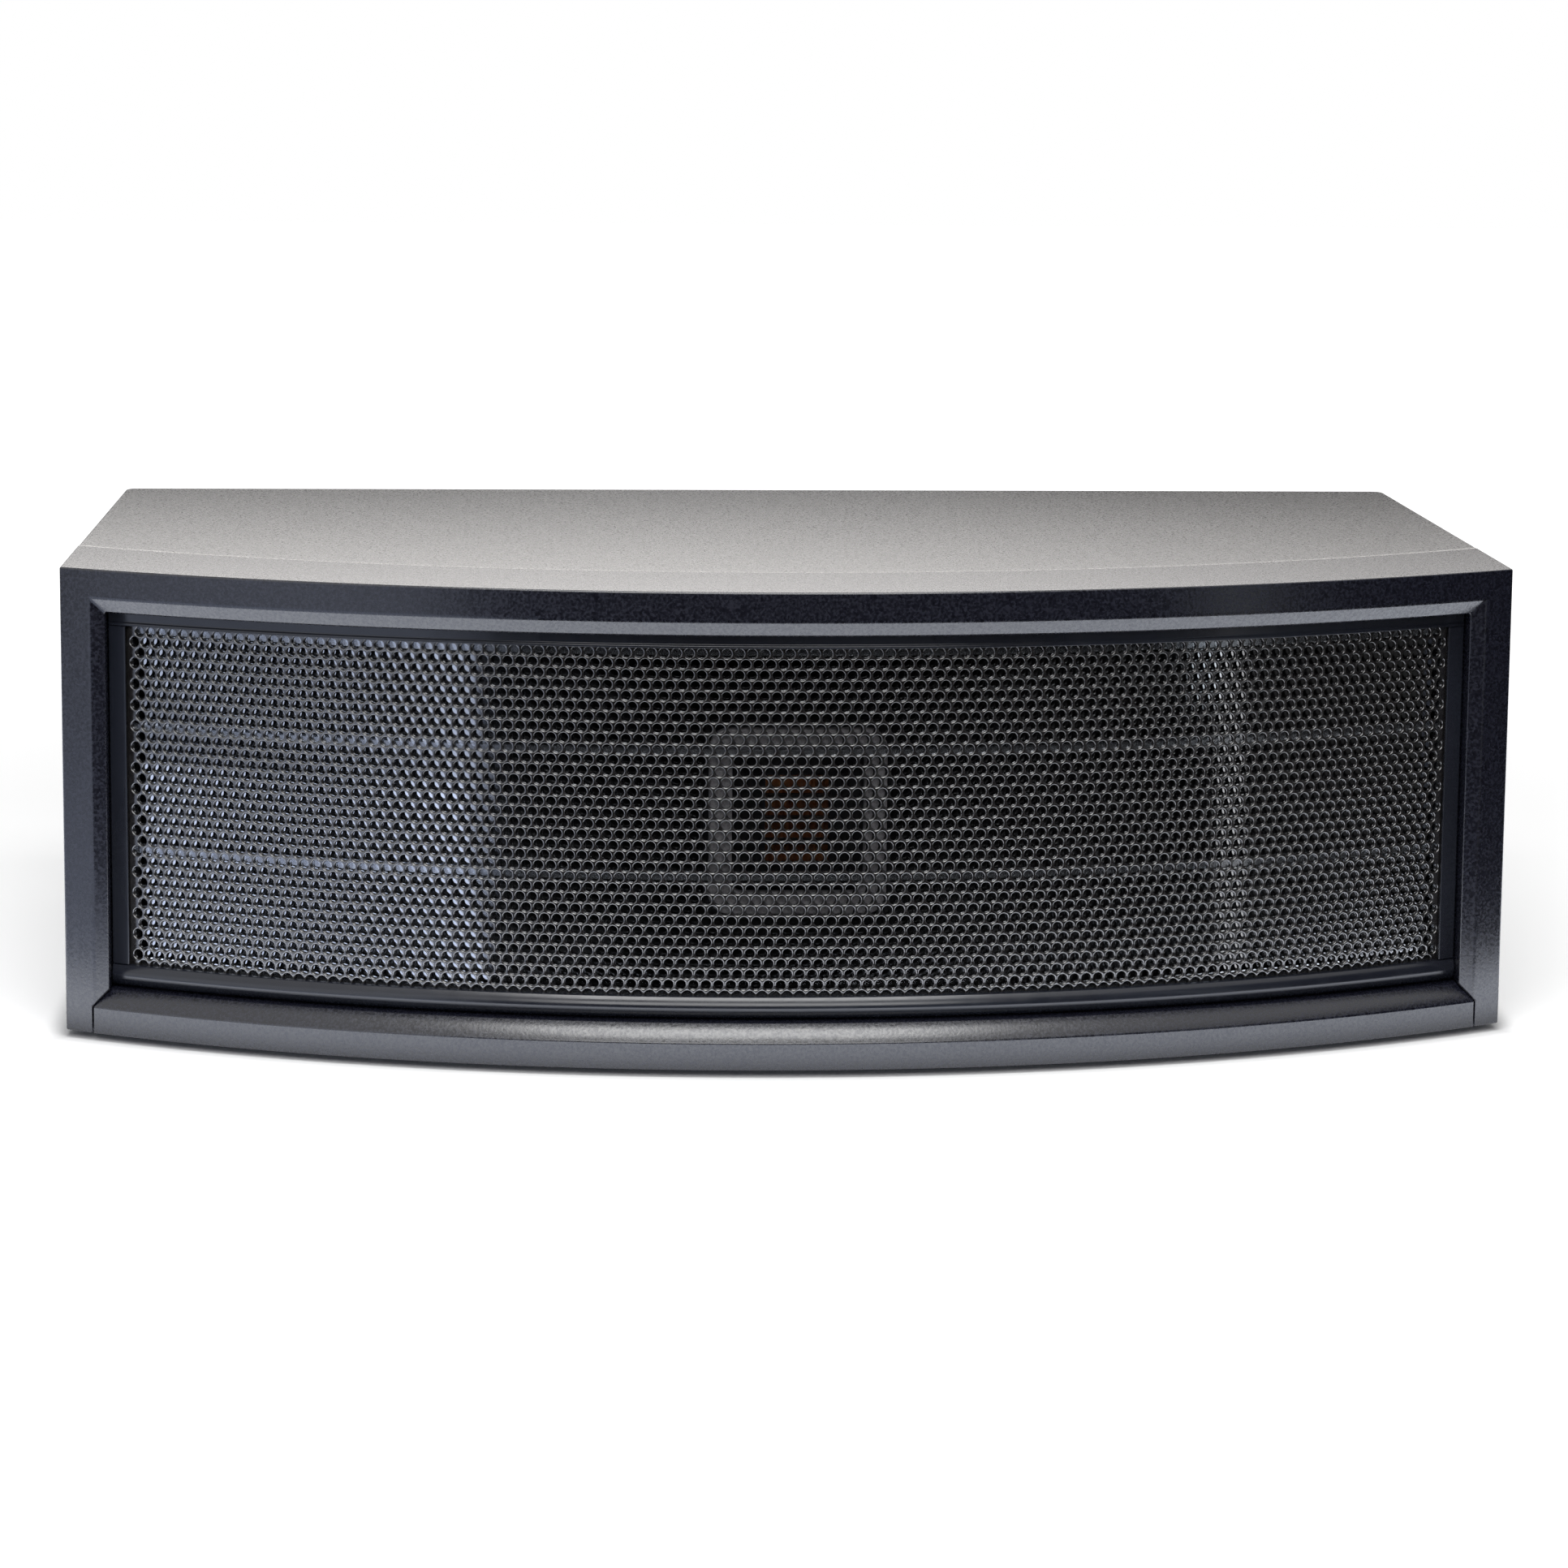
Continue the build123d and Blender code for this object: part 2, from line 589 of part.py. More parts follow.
PLEAT_WIDTH = (TWEETER_WINDOW_WIDTH - 2 * FIT) / PLEATS
with BuildPart() as tweeter_pleats:
    with BuildSketch(Plane.XY.offset(MIDDLE - TWEETER_WINDOW_HEIGHT / 2)):
        start_x = -PLEATS * PLEAT_WIDTH / 2
        film_y = AXIS_Y - PLATE_SEAT_RADIUS + FIT
        ridge = []
        for fold in range(2 * PLEATS + 1):
            ridge.append((start_x + fold * PLEAT_WIDTH / 2, film_y + (fold % 2) * PLEAT_DEPTH))
        with BuildLine():
            front_line = Polyline(*ridge)
            back_line = Polyline(*[(x, y + PLEAT_FILM) for x, y in ridge])
            Line(front_line @ 0, back_line @ 0)
            Line(front_line @ 1, back_line @ 1)
        make_face()
    extrude(amount=TWEETER_WINDOW_HEIGHT)
finish(tweeter_pleats, "tweeter_pleated_film")

MAGNET_POCKET_DEPTH = PLEAT_DEPTH + PLEAT_FILM + 2 * FIT
with BuildPart() as tweeter_magnet:
    with BuildSketch(TWEETER_SEAT):
        Rectangle(TWEETER_MAGNET_WIDTH, TWEETER_MAGNET_HEIGHT)
    extrude(amount=-TWEETER_MAGNET_DEPTH)
    with BuildSketch(TWEETER_SEAT):
        Rectangle(TWEETER_WINDOW_WIDTH, TWEETER_WINDOW_HEIGHT + 2 * FIT)
    extrude(amount=-MAGNET_POCKET_DEPTH, mode=Mode.SUBTRACT)
    add(screw_holes(TWEETER_SCREW_PLACES), mode=Mode.SUBTRACT)
finish(tweeter_magnet, "tweeter_magnet")
finish(screws(TWEETER_SCREW_PLACES), "tweeter_screws")


def cone_height(radius):
    """Height of the cone's front surface over the seat at this radius."""
    slope = (FLANGE_THICKNESS + CONE_NECK_DEPTH) / (CONE_EDGE - CONE_NECK)
    return slope * (radius - CONE_NECK) - CONE_NECK_DEPTH


def basket_radius(height):
    """Inner radius of the basket's wall at this height over the seat."""
    slope = (BASKET_THROAT - MAGNET_RADIUS) / (FLANGE_THICKNESS + BASKET_DEPTH - BASKET_WALL)
    return MAGNET_RADIUS + slope * (height + BASKET_DEPTH - BASKET_WALL)


def woofer_basket(seat, places):
    """Cast basket: flange, sloping wall with windows, and a floor that carries the magnet."""
    with BuildPart() as basket:
        with BuildSketch(profile_plane(seat)):
            with BuildLine():
                Polyline(
                    (FLANGE_RADIUS, 0),
                    (FLANGE_RADIUS, FLANGE_THICKNESS),
                    (BASKET_THROAT, FLANGE_THICKNESS),
                    (MAGNET_RADIUS, BASKET_WALL - BASKET_DEPTH),
                    (MAGNET_BORE, BASKET_WALL - BASKET_DEPTH),
                    (MAGNET_BORE, -BASKET_DEPTH),
                    (MAGNET_RADIUS + BASKET_WALL, -BASKET_DEPTH),
                    (BASKET_OUTER, 0),
                    close=True,
                )
            make_face()
        revolve(axis=Axis(seat.origin, seat.z_dir))
        with BuildSketch(seat.offset(BASKET_WALL + SPIDER_HEIGHT - BASKET_DEPTH)):
            with PolarLocations(BASKET_THROAT, BASKET_WINDOWS):
                Rectangle(2 * BASKET_WALL + BASKET_THROAT - MAGNET_RADIUS, BASKET_WINDOW_WIDTH)
        extrude(amount=BASKET_DEPTH - SPIDER_HEIGHT - 2 * BASKET_WALL, mode=Mode.SUBTRACT)
        add(screw_holes(places), mode=Mode.SUBTRACT)
    return basket


def woofer_surround(seat):
    """Raised rubber roll with a lip on the flange and a lip on the cone."""
    low = FLANGE_THICKNESS + LAYER_GAP
    lip_top = low + ROLL_WALL
    crest = low + ROLL_RADIUS
    inner_crest = CONE_EDGE + ROLL_RADIUS / 2
    outer_crest = BASKET_THROAT - ROLL_RADIUS / 2
    return turned(
        seat,
        [
            (CONE_EDGE - LIP_WIDTH, low),
            (CONE_EDGE - LIP_WIDTH, lip_top),
            (CONE_EDGE, lip_top),
            (inner_crest, crest),
            (outer_crest, crest),
            (BASKET_THROAT, lip_top),
            (LIP_RADIUS, lip_top),
            (LIP_RADIUS, low),
            (BASKET_THROAT - ROLL_WALL, low),
            (outer_crest - ROLL_WALL, crest - ROLL_WALL),
            (inner_crest + ROLL_WALL, crest - ROLL_WALL),
            (CONE_EDGE + ROLL_WALL, low),
        ],
    )


def woofer_dust_cap(seat):
    """Thin stepped dome over the neck of the cone."""
    rim = CONE_NECK + DUST_CAP_LAP
    low = cone_height(rim) + LAYER_GAP
    shoulder = low + DUST_CAP_RISE * 2 / 3
    crest = low + DUST_CAP_RISE
    return turned(
        seat,
        [
            (rim, low),
            (rim * 2 / 3, shoulder),
            (0, crest),
            (0, crest - CONE_THICKNESS),
            (rim * 2 / 3, shoulder - CONE_THICKNESS),
            (rim - 2 * CONE_THICKNESS, low),
        ],
    )


# Woofers, one each side of the tweeter
MAGNET_TOP = -BASKET_DEPTH
MAGNET_BACK = MAGNET_TOP - MAGNET_THICKNESS
YOKE_BACK = MAGNET_BACK - YOKE_THICKNESS
SPIDER_LEVEL = SPIDER_HEIGHT - BASKET_DEPTH
for side, seat in WOOFER_SEATS.items():
    places = WOOFER_SCREW_PLACES[side]
    finish(woofer_basket(seat, places), f"{side}_woofer_basket")
    magnet = turned(
        seat,
        [
            (MAGNET_BORE, MAGNET_TOP),
            (MAGNET_RADIUS, MAGNET_TOP),
            (MAGNET_RADIUS, MAGNET_BACK),
            (MAGNET_BORE, MAGNET_BACK),
        ],
    )
    finish(magnet, f"{side}_woofer_magnet")
    yoke = turned(
        seat,
        [
            (0, YOKE_BACK),
            (MAGNET_RADIUS - YOKE_INSET, YOKE_BACK),
            (MAGNET_RADIUS - YOKE_INSET, MAGNET_BACK),
            (POLE_RADIUS, MAGNET_BACK),
            (POLE_RADIUS, YOKE_BACK + POLE_HEIGHT),
            (0, YOKE_BACK + POLE_HEIGHT),
        ],
    )
    finish(yoke, f"{side}_woofer_yoke")
    coil = turned(
        seat,
        [
            (COIL_RADIUS, -CONE_NECK_DEPTH),
            (COIL_RADIUS + COIL_WALL, -CONE_NECK_DEPTH),
            (COIL_RADIUS + COIL_WALL, -CONE_NECK_DEPTH - COIL_LENGTH),
            (COIL_RADIUS, -CONE_NECK_DEPTH - COIL_LENGTH),
        ],
    )
    finish(coil, f"{side}_woofer_voice_coil")
    cone = turned(
        seat,
        [
            (CONE_EDGE, FLANGE_THICKNESS),
            (CONE_NECK, -CONE_NECK_DEPTH),
            (CONE_NECK, -CONE_NECK_DEPTH - CONE_THICKNESS),
            (CONE_EDGE, FLANGE_THICKNESS - CONE_THICKNESS),
        ],
    )
    finish(cone, f"{side}_woofer_cone")
    spider = turned(
        seat,
        [
            (CONE_NECK, SPIDER_LEVEL),
            (basket_radius(SPIDER_LEVEL) - FIT, SPIDER_LEVEL),
            (basket_radius(SPIDER_LEVEL) - FIT, SPIDER_LEVEL + SPIDER_THICKNESS),
            (CONE_NECK, SPIDER_LEVEL + SPIDER_THICKNESS),
        ],
    )
    finish(spider, f"{side}_woofer_spider")
    finish(woofer_surround(seat), f"{side}_woofer_surround")
    finish(woofer_dust_cap(seat), f"{side}_woofer_dust_cap")
    finish(screws(places), f"{side}_woofer_screws")

# Cabinet boards behind the seam
BOARD_RADIUS = SEAM_RADIUS - SEAM_GAP
with BuildPart() as cabinet_bottom:
    extrude(board_plan(BOARD_RADIUS, BASE), amount=BOARD)
finish(cabinet_bottom, "cabinet_bottom")

with BuildPart() as cabinet_top:
    extrude(board_plan(BOARD_RADIUS, CEILING), amount=BOARD)
finish(cabinet_top, "cabinet_top")

for side, name in ((-1, "cabinet_left_side"), (1, "cabinet_right_side")):
    with BuildPart() as cabinet_side:
        extrude(board_plan(BOARD_RADIUS, FLOOR), amount=CEILING - FLOOR)
        keep = Keep.TOP if side > 0 else Keep.BOTTOM
        split(bisect_by=Plane.YZ.offset(side * INSIDE_HALF), keep=keep)
    finish(cabinet_side, name)

# Rear panel, let in between the boards, with a cut-out behind the terminal plate
CUTOUT_WIDTH = PLATE_WIDTH - 2 * PLATE_FLANGE
CUTOUT_HEIGHT = PLATE_HEIGHT - 2 * PLATE_FLANGE
with BuildPart() as rear_panel:
    with BuildSketch(rear_view(BACK_Y)):
        with Locations((0, (FLOOR + CEILING) / 2)):
            Rectangle(2 * (INSIDE_HALF - FIT), CEILING - FLOOR - 2 * FIT)
        with Locations((0, MIDDLE)):
            Rectangle(CUTOUT_WIDTH, CUTOUT_HEIGHT, mode=Mode.SUBTRACT)
    extrude(amount=-BOARD)
    add(screw_holes(REAR_SCREW_PLACES, REAR_SCREW_LENGTH), mode=Mode.SUBTRACT)
    add(screw_holes(PLATE_SCREW_PLACES), mode=Mode.SUBTRACT)
finish(rear_panel, "rear_panel")

with BuildPart() as rear_cleats:
    for level in (FLOOR + CLEAT / 2, CEILING - CLEAT / 2):
        with BuildSketch(rear_view(BACK_Y - BOARD)):
            with Locations((0, level)):
                Rectangle(2 * (INSIDE_HALF - CLEAT_CLEARANCE), CLEAT)
    extrude(amount=-CLEAT)
    add(screw_holes(REAR_SCREW_PLACES, REAR_SCREW_LENGTH), mode=Mode.SUBTRACT)
finish(rear_cleats, "rear_cleats")
finish(screws(REAR_SCREW_PLACES, REAR_SCREW_LENGTH), "rear_panel_screws")

# Terminal plate with binding posts and the power inlet
with BuildPart() as terminal_plate:
    with BuildSketch(rear_view(BACK_Y)):
        with Locations((0, MIDDLE)):
            RectangleRounded(PLATE_WIDTH, PLATE_HEIGHT, PLATE_CORNER)
        with Locations((-POST_SPACING / 2, MIDDLE), (POST_SPACING / 2, MIDDLE)):
            Circle(POST_RADIUS + LAYER_GAP, mode=Mode.SUBTRACT)
        with Locations((-INLET_OFFSET, MIDDLE)):
            Circle(INLET_RADIUS + LAYER_GAP, mode=Mode.SUBTRACT)
    extrude(amount=PLATE_THICKNESS)
    add(screw_holes(PLATE_SCREW_PLACES), mode=Mode.SUBTRACT)
finish(terminal_plate, "terminal_plate")
finish(screws(PLATE_SCREW_PLACES), "terminal_screws")

POST_PLACES = {
    "positive": shifted(rear_view(PLATE_Y), POST_SPACING / 2, MIDDLE),
    "negative": shifted(rear_view(PLATE_Y), -POST_SPACING / 2, MIDDLE),
}
SHOULDER_TOP = INSULATOR_THICKNESS + SHOULDER_THICKNESS
POST_END = SHOULDER_TOP + CAP_RUNNING_GAP + CAP_LENGTH - CAP_END_LAP
with BuildPart() as post_insulators:
    for place in POST_PLACES.values():
        with BuildSketch(place):
            Circle(INSULATOR_RADIUS)
            Circle(POST_RADIUS + LAYER_GAP, mode=Mode.SUBTRACT)
    extrude(amount=INSULATOR_THICKNESS)
finish(post_insulators, "post_insulators")

with BuildPart() as post_nuts:
    for place in POST_PLACES.values():
        with BuildSketch(place.offset(-PLATE_THICKNESS)):
            RegularPolygon(NUT_ACROSS / 2, 6, major_radius=False)
            Circle(POST_RADIUS + LAYER_GAP, mode=Mode.SUBTRACT)
    extrude(amount=-NUT_THICKNESS)
finish(post_nuts, "post_nuts")

for pole, place in POST_PLACES.items():
    post = turned(
        place,
        [
            (0, -POST_TAIL),
            (POST_RADIUS, -POST_TAIL),
            (POST_RADIUS, INSULATOR_THICKNESS),
            (SHOULDER_RADIUS, INSULATOR_THICKNESS),
            (SHOULDER_RADIUS, SHOULDER_TOP),
            (POST_RADIUS, SHOULDER_TOP),
            (POST_RADIUS, POST_END),
            (POST_BORE_RADIUS, POST_END),
            (POST_BORE_RADIUS, POST_END - POST_BORE_DEPTH),
            (0, POST_END - POST_BORE_DEPTH),
        ],
    )
    finish(post, f"{pole}_binding_post")
    with BuildPart() as cap:
        with BuildSketch(place.offset(SHOULDER_TOP + CAP_RUNNING_GAP)):
            Circle(CAP_RADIUS)
            Circle(POST_RADIUS + CAP_RUNNING_GAP, mode=Mode.SUBTRACT)
            with PolarLocations(CAP_RADIUS, CAP_GROOVES):
                Rectangle(2 * CAP_GROOVE_DEPTH, CAP_GROOVE_WIDTH, mode=Mode.SUBTRACT)
        extrude(amount=CAP_LENGTH)
    finish(cap, f"{pole}_binding_cap")

INLET_PLACE = shifted(rear_view(PLATE_Y), -INLET_OFFSET, MIDDLE)
power_inlet = turned(
    INLET_PLACE,
    [
        (0, -INLET_BODY_LENGTH),
        (INLET_RADIUS, -INLET_BODY_LENGTH),
        (INLET_RADIUS, 0),
        (INLET_FLANGE_RADIUS, 0),
        (INLET_FLANGE_RADIUS, INLET_FLANGE),
        (INLET_BORE_RADIUS, INLET_FLANGE),
        (INLET_BORE_RADIUS, INLET_FLANGE - INLET_BORE_DEPTH),
        (INLET_PIN_RADIUS, INLET_FLANGE - INLET_BORE_DEPTH),
        (INLET_PIN_RADIUS, 0),
        (0, 0),
    ],
)
finish(power_inlet, "power_inlet")

# Electronics on standoffs, on the cabinet floor
BOARD_LEVEL = FLOOR + STANDOFF_HEIGHT
PART_LEVEL = BOARD_LEVEL + BOARD_THICKNESS
CROSSOVER_PLACE = (CROSSOVER_OFFSET, BACK_Y - BOARD - CROSSOVER_SETBACK)
BIAS_PLACE = (BIAS_OFFSET, BACK_Y - BOARD - BIAS_SETBACK)
circuit_boards = (
    ("crossover_board", CROSSOVER_PLACE, CROSSOVER_WIDTH, CROSSOVER_DEPTH),
    ("bias_supply_board", BIAS_PLACE, BIAS_WIDTH, BIAS_DEPTH),
)
for name, place, width, depth in circuit_boards:
    with BuildPart() as circuit_board:
        with BuildSketch(Plane.XY.offset(BOARD_LEVEL)):
            with Locations(place):
                Rectangle(width, depth)
        extrude(amount=BOARD_THICKNESS)
    finish(circuit_board, name)

with BuildPart() as standoffs:
    with BuildSketch(Plane.XY.offset(FLOOR)):
        for name, place, width, depth in circuit_boards:
            with Locations(place):
                with GridLocations(width - 2 * STANDOFF_INSET, depth - 2 * STANDOFF_INSET, 2, 2):
                    RegularPolygon(STANDOFF_RADIUS, 6)
    extrude(amount=STANDOFF_HEIGHT)
finish(standoffs, "board_standoffs")

with BuildPart() as inductors:
    with BuildSketch(Plane.XY.offset(PART_LEVEL)):
        with Locations(CROSSOVER_PLACE):
            with Locations((0, CROSSOVER_DEPTH / 2 - INDUCTOR_RADIUS)):
                with GridLocations(INDUCTOR_SPACING, 0, 2, 1):
                    Circle(INDUCTOR_RADIUS)
                    Circle(INDUCTOR_BORE, mode=Mode.SUBTRACT)
    extrude(amount=INDUCTOR_HEIGHT)
finish(inductors, "crossover_inductors")

with BuildPart() as capacitors:
    capacitor_y = CROSSOVER_PLACE[1] - CROSSOVER_DEPTH / 2 + 2 * CAPACITOR_RADIUS
    for number in (-1, 0, 1):
        start_x = CROSSOVER_OFFSET + number * CAPACITOR_SPACING - CAPACITOR_LENGTH / 2
        with BuildSketch(Plane.YZ.offset(start_x)):
            with Locations((capacitor_y, PART_LEVEL + CAPACITOR_RADIUS)):
                Circle(CAPACITOR_RADIUS)
    extrude(amount=CAPACITOR_LENGTH)
finish(capacitors, "crossover_capacitors")

with BuildPart() as transformer:
    transformer_y = BACK_Y - BOARD - TRANSFORMER_SETBACK
    with BuildSketch(Plane.XY.offset(FLOOR)):
        with Locations((TRANSFORMER_OFFSET, transformer_y)):
            Rectangle(TRANSFORMER_WIDTH, TRANSFORMER_DEPTH)
    extrude(amount=TRANSFORMER_HEIGHT)
    with BuildSketch(Plane.XY.offset(FLOOR + TRANSFORMER_COIL_LAP)):
        with Locations((TRANSFORMER_OFFSET, transformer_y)):
            RectangleRounded(
                TRANSFORMER_WIDTH - 2 * TRANSFORMER_COIL_LAP,
                TRANSFORMER_DEPTH + 2 * TRANSFORMER_COIL_LAP,
                TRANSFORMER_COIL_LAP / 2,
            )
    extrude(amount=TRANSFORMER_HEIGHT - 2 * TRANSFORMER_COIL_LAP)
finish(transformer, "step_up_transformer")

# Feet under the bottom board
with BuildPart() as feet:
    foot_x = HALF_WIDTH - FOOT_INSET
    front_y = arc_y(BOARD_RADIUS, foot_x) + FRONT_FOOT_SETBACK - BEZEL_DEPTH
    rear_y = BACK_Y - REAR_FOOT_INSET
    with BuildSketch():
        with Locations((-foot_x, front_y), (foot_x, front_y), (-foot_x, rear_y), (foot_x, rear_y)):
            Circle(FOOT_RADIUS)
    extrude(amount=FOOT_HEIGHT)
finish(feet, "rubber_feet")
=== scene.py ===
import json
from math import asin, cos, pi, radians, sin, sqrt

import bmesh
import bpy
from mathutils import Matrix, Vector


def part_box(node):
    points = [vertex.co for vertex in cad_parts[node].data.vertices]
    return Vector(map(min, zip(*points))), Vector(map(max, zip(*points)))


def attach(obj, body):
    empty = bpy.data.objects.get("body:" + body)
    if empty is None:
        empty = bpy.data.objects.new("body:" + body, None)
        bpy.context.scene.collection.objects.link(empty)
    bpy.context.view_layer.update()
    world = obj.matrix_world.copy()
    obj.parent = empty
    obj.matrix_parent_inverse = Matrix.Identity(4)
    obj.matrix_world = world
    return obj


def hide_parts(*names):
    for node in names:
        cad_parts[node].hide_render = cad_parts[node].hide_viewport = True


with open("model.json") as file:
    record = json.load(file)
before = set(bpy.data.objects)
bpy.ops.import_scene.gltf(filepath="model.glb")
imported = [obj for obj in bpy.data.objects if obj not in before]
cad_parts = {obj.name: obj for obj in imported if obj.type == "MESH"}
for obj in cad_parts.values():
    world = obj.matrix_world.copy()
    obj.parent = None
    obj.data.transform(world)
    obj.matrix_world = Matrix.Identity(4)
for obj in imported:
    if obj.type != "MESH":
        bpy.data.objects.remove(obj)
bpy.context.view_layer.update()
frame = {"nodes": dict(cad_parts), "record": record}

# Lengths are in millimetres, as in the solids, and become metres when a mesh is made
MM = 0.001
HALF_WIDTH = 285.0
BASE = 3.0
TOP = 187.0
BOARD = 12.0
AXIS_Y = 434.7786
BACK_Y = 155.6
PLATE_Y = 158.6
FRONT_RADIUS = 615.1786
SEAM_RADIUS = 559.1786
SEAM_GAP = 0.4
BOARD_RADIUS = SEAM_RADIUS - SEAM_GAP
REAR_CORNER_RADIUS = 5.0
OPENING_HALF = 267.2
OPENING_TOP = 169.7
BEZEL_CHAMFER = 6.0
CHAMFER_DEPTH = 3.6
RAIL_HALF = 273.7
RAIL_GAP = 0.4
RAIL_TOP = 20.0
RAIL_CHAMFER = 6.5
RAIL_BULGE = 0.45
PANEL_RADIUS = 601.1786
FILM_RADIUS = 596.9786
REAR_STATOR_RADIUS = 594.3786
STATOR_THICKNESS = 2.0
PANEL_HALF = 266.9
PANEL_BOTTOM = 20.3
PANEL_TOP = 169.4
MIDDLE = (PANEL_BOTTOM + PANEL_TOP) / 2
TRIM_TOP = 5.6
TRIM_SIDE = 6.9
TRIM_BOTTOM = 8.6
TRIM_THICKNESS = 3.0
BOTTOM_TRIM_THICKNESS = 5.0
LAYER_GAP = 0.1
STRIP = 5.0
CORNER_STEPS = 6
CRISP = 0.25
WHITE = (1.0, 1.0, 1.0)


def arc_y(radius, x):
    """Y of the arc of this radius about the front's axis, at this X."""
    return AXIS_Y - sqrt(radius**2 - x**2)


def link(obj):
    """Put an object into the scene."""
    bpy.context.scene.collection.objects.link(obj)
    return obj


def mesh_piece(name, points, faces, material):
    """New smooth object from points in millimetres."""
    mesh = bpy.data.meshes.new(name)
    mesh.from_pydata([Vector(p) * MM for p in points], [], faces)
    mesh.validate()
    mesh.polygons.foreach_set("use_smooth", [True] * len(mesh.polygons))
    mesh.update()
    mesh.materials.append(material)
    return link(bpy.data.objects.new(name, mesh))


def bmesh_piece(name, bm, material):
    """New object from a bmesh in millimetres, with faces turned outward and smooth shading."""
    bmesh.ops.recalc_face_normals(bm, faces=bm.faces)
    mesh = bpy.data.meshes.new(name)
    bmesh.ops.scale(bm, vec=(MM, MM, MM), verts=bm.verts)
    bm.to_mesh(mesh)
    bm.free()
    mesh.polygons.foreach_set("use_smooth", [True] * len(mesh.polygons))
    mesh.materials.append(material)
    return link(bpy.data.objects.new(name, mesh))


def join_rings(bm, one, two):
    """Close the strip between two rings of as many points."""
    for k in range(len(one)):
        n = (k + 1) % len(one)
        bm.faces.new((one[k], one[n], two[n], two[k]))


def rounded_outline(half_width, half_height, corner, y, steps):
    """Points round a rectangle with round corners, about the panel's middle."""
    outline = []
    for quarter, (side, end) in enumerate(((1, 1), (-1, 1), (-1, -1), (1, -1))):
        for step in range(steps + 1):
            angle = pi / 2 * (quarter + step / steps)
            x = side * (half_width - corner) + corner * cos(angle)
            z = end * (half_height - corner) + corner * sin(angle)
            outline.append((x, y, MIDDLE + z))
    return outline


def soften(obj, width, segments=3, angle=28, sharp=None):
    """Round the hard edges of a piece; those that sharp() picks stay four times crisper."""
    bevel = obj.modifiers.new("soft_edges", "BEVEL")
    bevel.width = width * MM
    bevel.segments = segments
    bevel.use_clamp_overlap = True
    bevel.harden_normals = True
    bevel.limit_method = "ANGLE"
    bevel.angle_limit = radians(angle)
    if sharp:
        bevel.limit_method = "WEIGHT"
        bm = bmesh.new()
        bm.from_mesh(obj.data)
        weight = bm.edges.layers.float.new("bevel_weight_edge")
        for edge in bm.edges:
            if edge.calc_face_angle(0) > radians(angle):
                edge[weight] = CRISP if all(sharp(vert.co / MM) for vert in edge.verts) else 1.0
        bm.to_mesh(obj.data)
        bm.free()
    return obj


def dress(obj, body, slot, *nodes):
    """Fix a piece to its body and hide the solids it stands for; the slot is not used."""
    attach(obj, body)
    if nodes:
        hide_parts(*nodes)
    return obj


# Camera at the photograph's viewing angle, in a frame of 1932 by 1932 pixels
PHOTO_SIZE = 1932
FOCAL_PIXELS = 5202.4234
HORIZON_ROW = 750
SENSOR = 36.0
CAMERA_PLACE = Vector((-97.1638, -1745.4051, 406.6804)) * MM
PAN, TILT, ROLL = radians(-3.2774), radians(-8.1947), radians(-0.5244)
turn = Matrix.Rotation(PAN, 3, "Z") @ Matrix.Rotation(TILT, 3, "X") @ Matrix.Rotation(ROLL, 3, "Y")
camera_data = bpy.data.cameras.new("camera")
camera_data.sensor_width = SENSOR
camera_data.lens = FOCAL_PIXELS / PHOTO_SIZE * SENSOR
camera_data.shift_y = (HORIZON_ROW - PHOTO_SIZE / 2) / PHOTO_SIZE
camera_data.clip_start = 0.05
camera_data.clip_end = 50.0
camera = link(bpy.data.objects.new("camera", camera_data))
looking = Matrix((turn.col[0], turn.col[2], -turn.col[1])).transposed()
camera.matrix_world = Matrix.Translation(CAMERA_PLACE) @ looking.to_4x4()
bpy.context.scene.camera = camera
bpy.context.scene.view_settings.view_transform = "Standard"


def add_node(tree, kind, inputs, **settings):
    """New shader node; each input is a value or the socket that feeds it."""
    node = tree.nodes.new(f"ShaderNode{kind}")
    for key, value in settings.items():
        setattr(node, key, value)
    for key, value in inputs.items():
        if isinstance(value, bpy.types.NodeSocket):
            tree.links.new(value, node.inputs[key])
        else:
            node.inputs[key].default_value = value
    return node


def calculate(tree, operation, first, second, **settings):
    """Sum, product or the like of two sockets or numbers."""
    return add_node(tree, "Math", {0: first, 1: second}, operation=operation, **settings).outputs[0]


def ranged(tree, source, start, end, low=0.0, high=1.0, kind="LINEAR"):
    """Value that goes from low to high while the source goes from start to end."""
    inputs = {"Value": source, "From Min": start, "From Max": end, "To Min": low, "To Max": high}
    return add_node(tree, "MapRange", inputs, interpolation_type=kind).outputs["Result"]


def from_axis(tree, place):
    """Distance of a place from a point on the front's axis at the height of the floor."""
    inputs = {0: place, 1: (0.0, AXIS_Y * MM, 0.0)}
    return add_node(tree, "VectorMath", inputs, operation="DISTANCE").outputs["Value"]


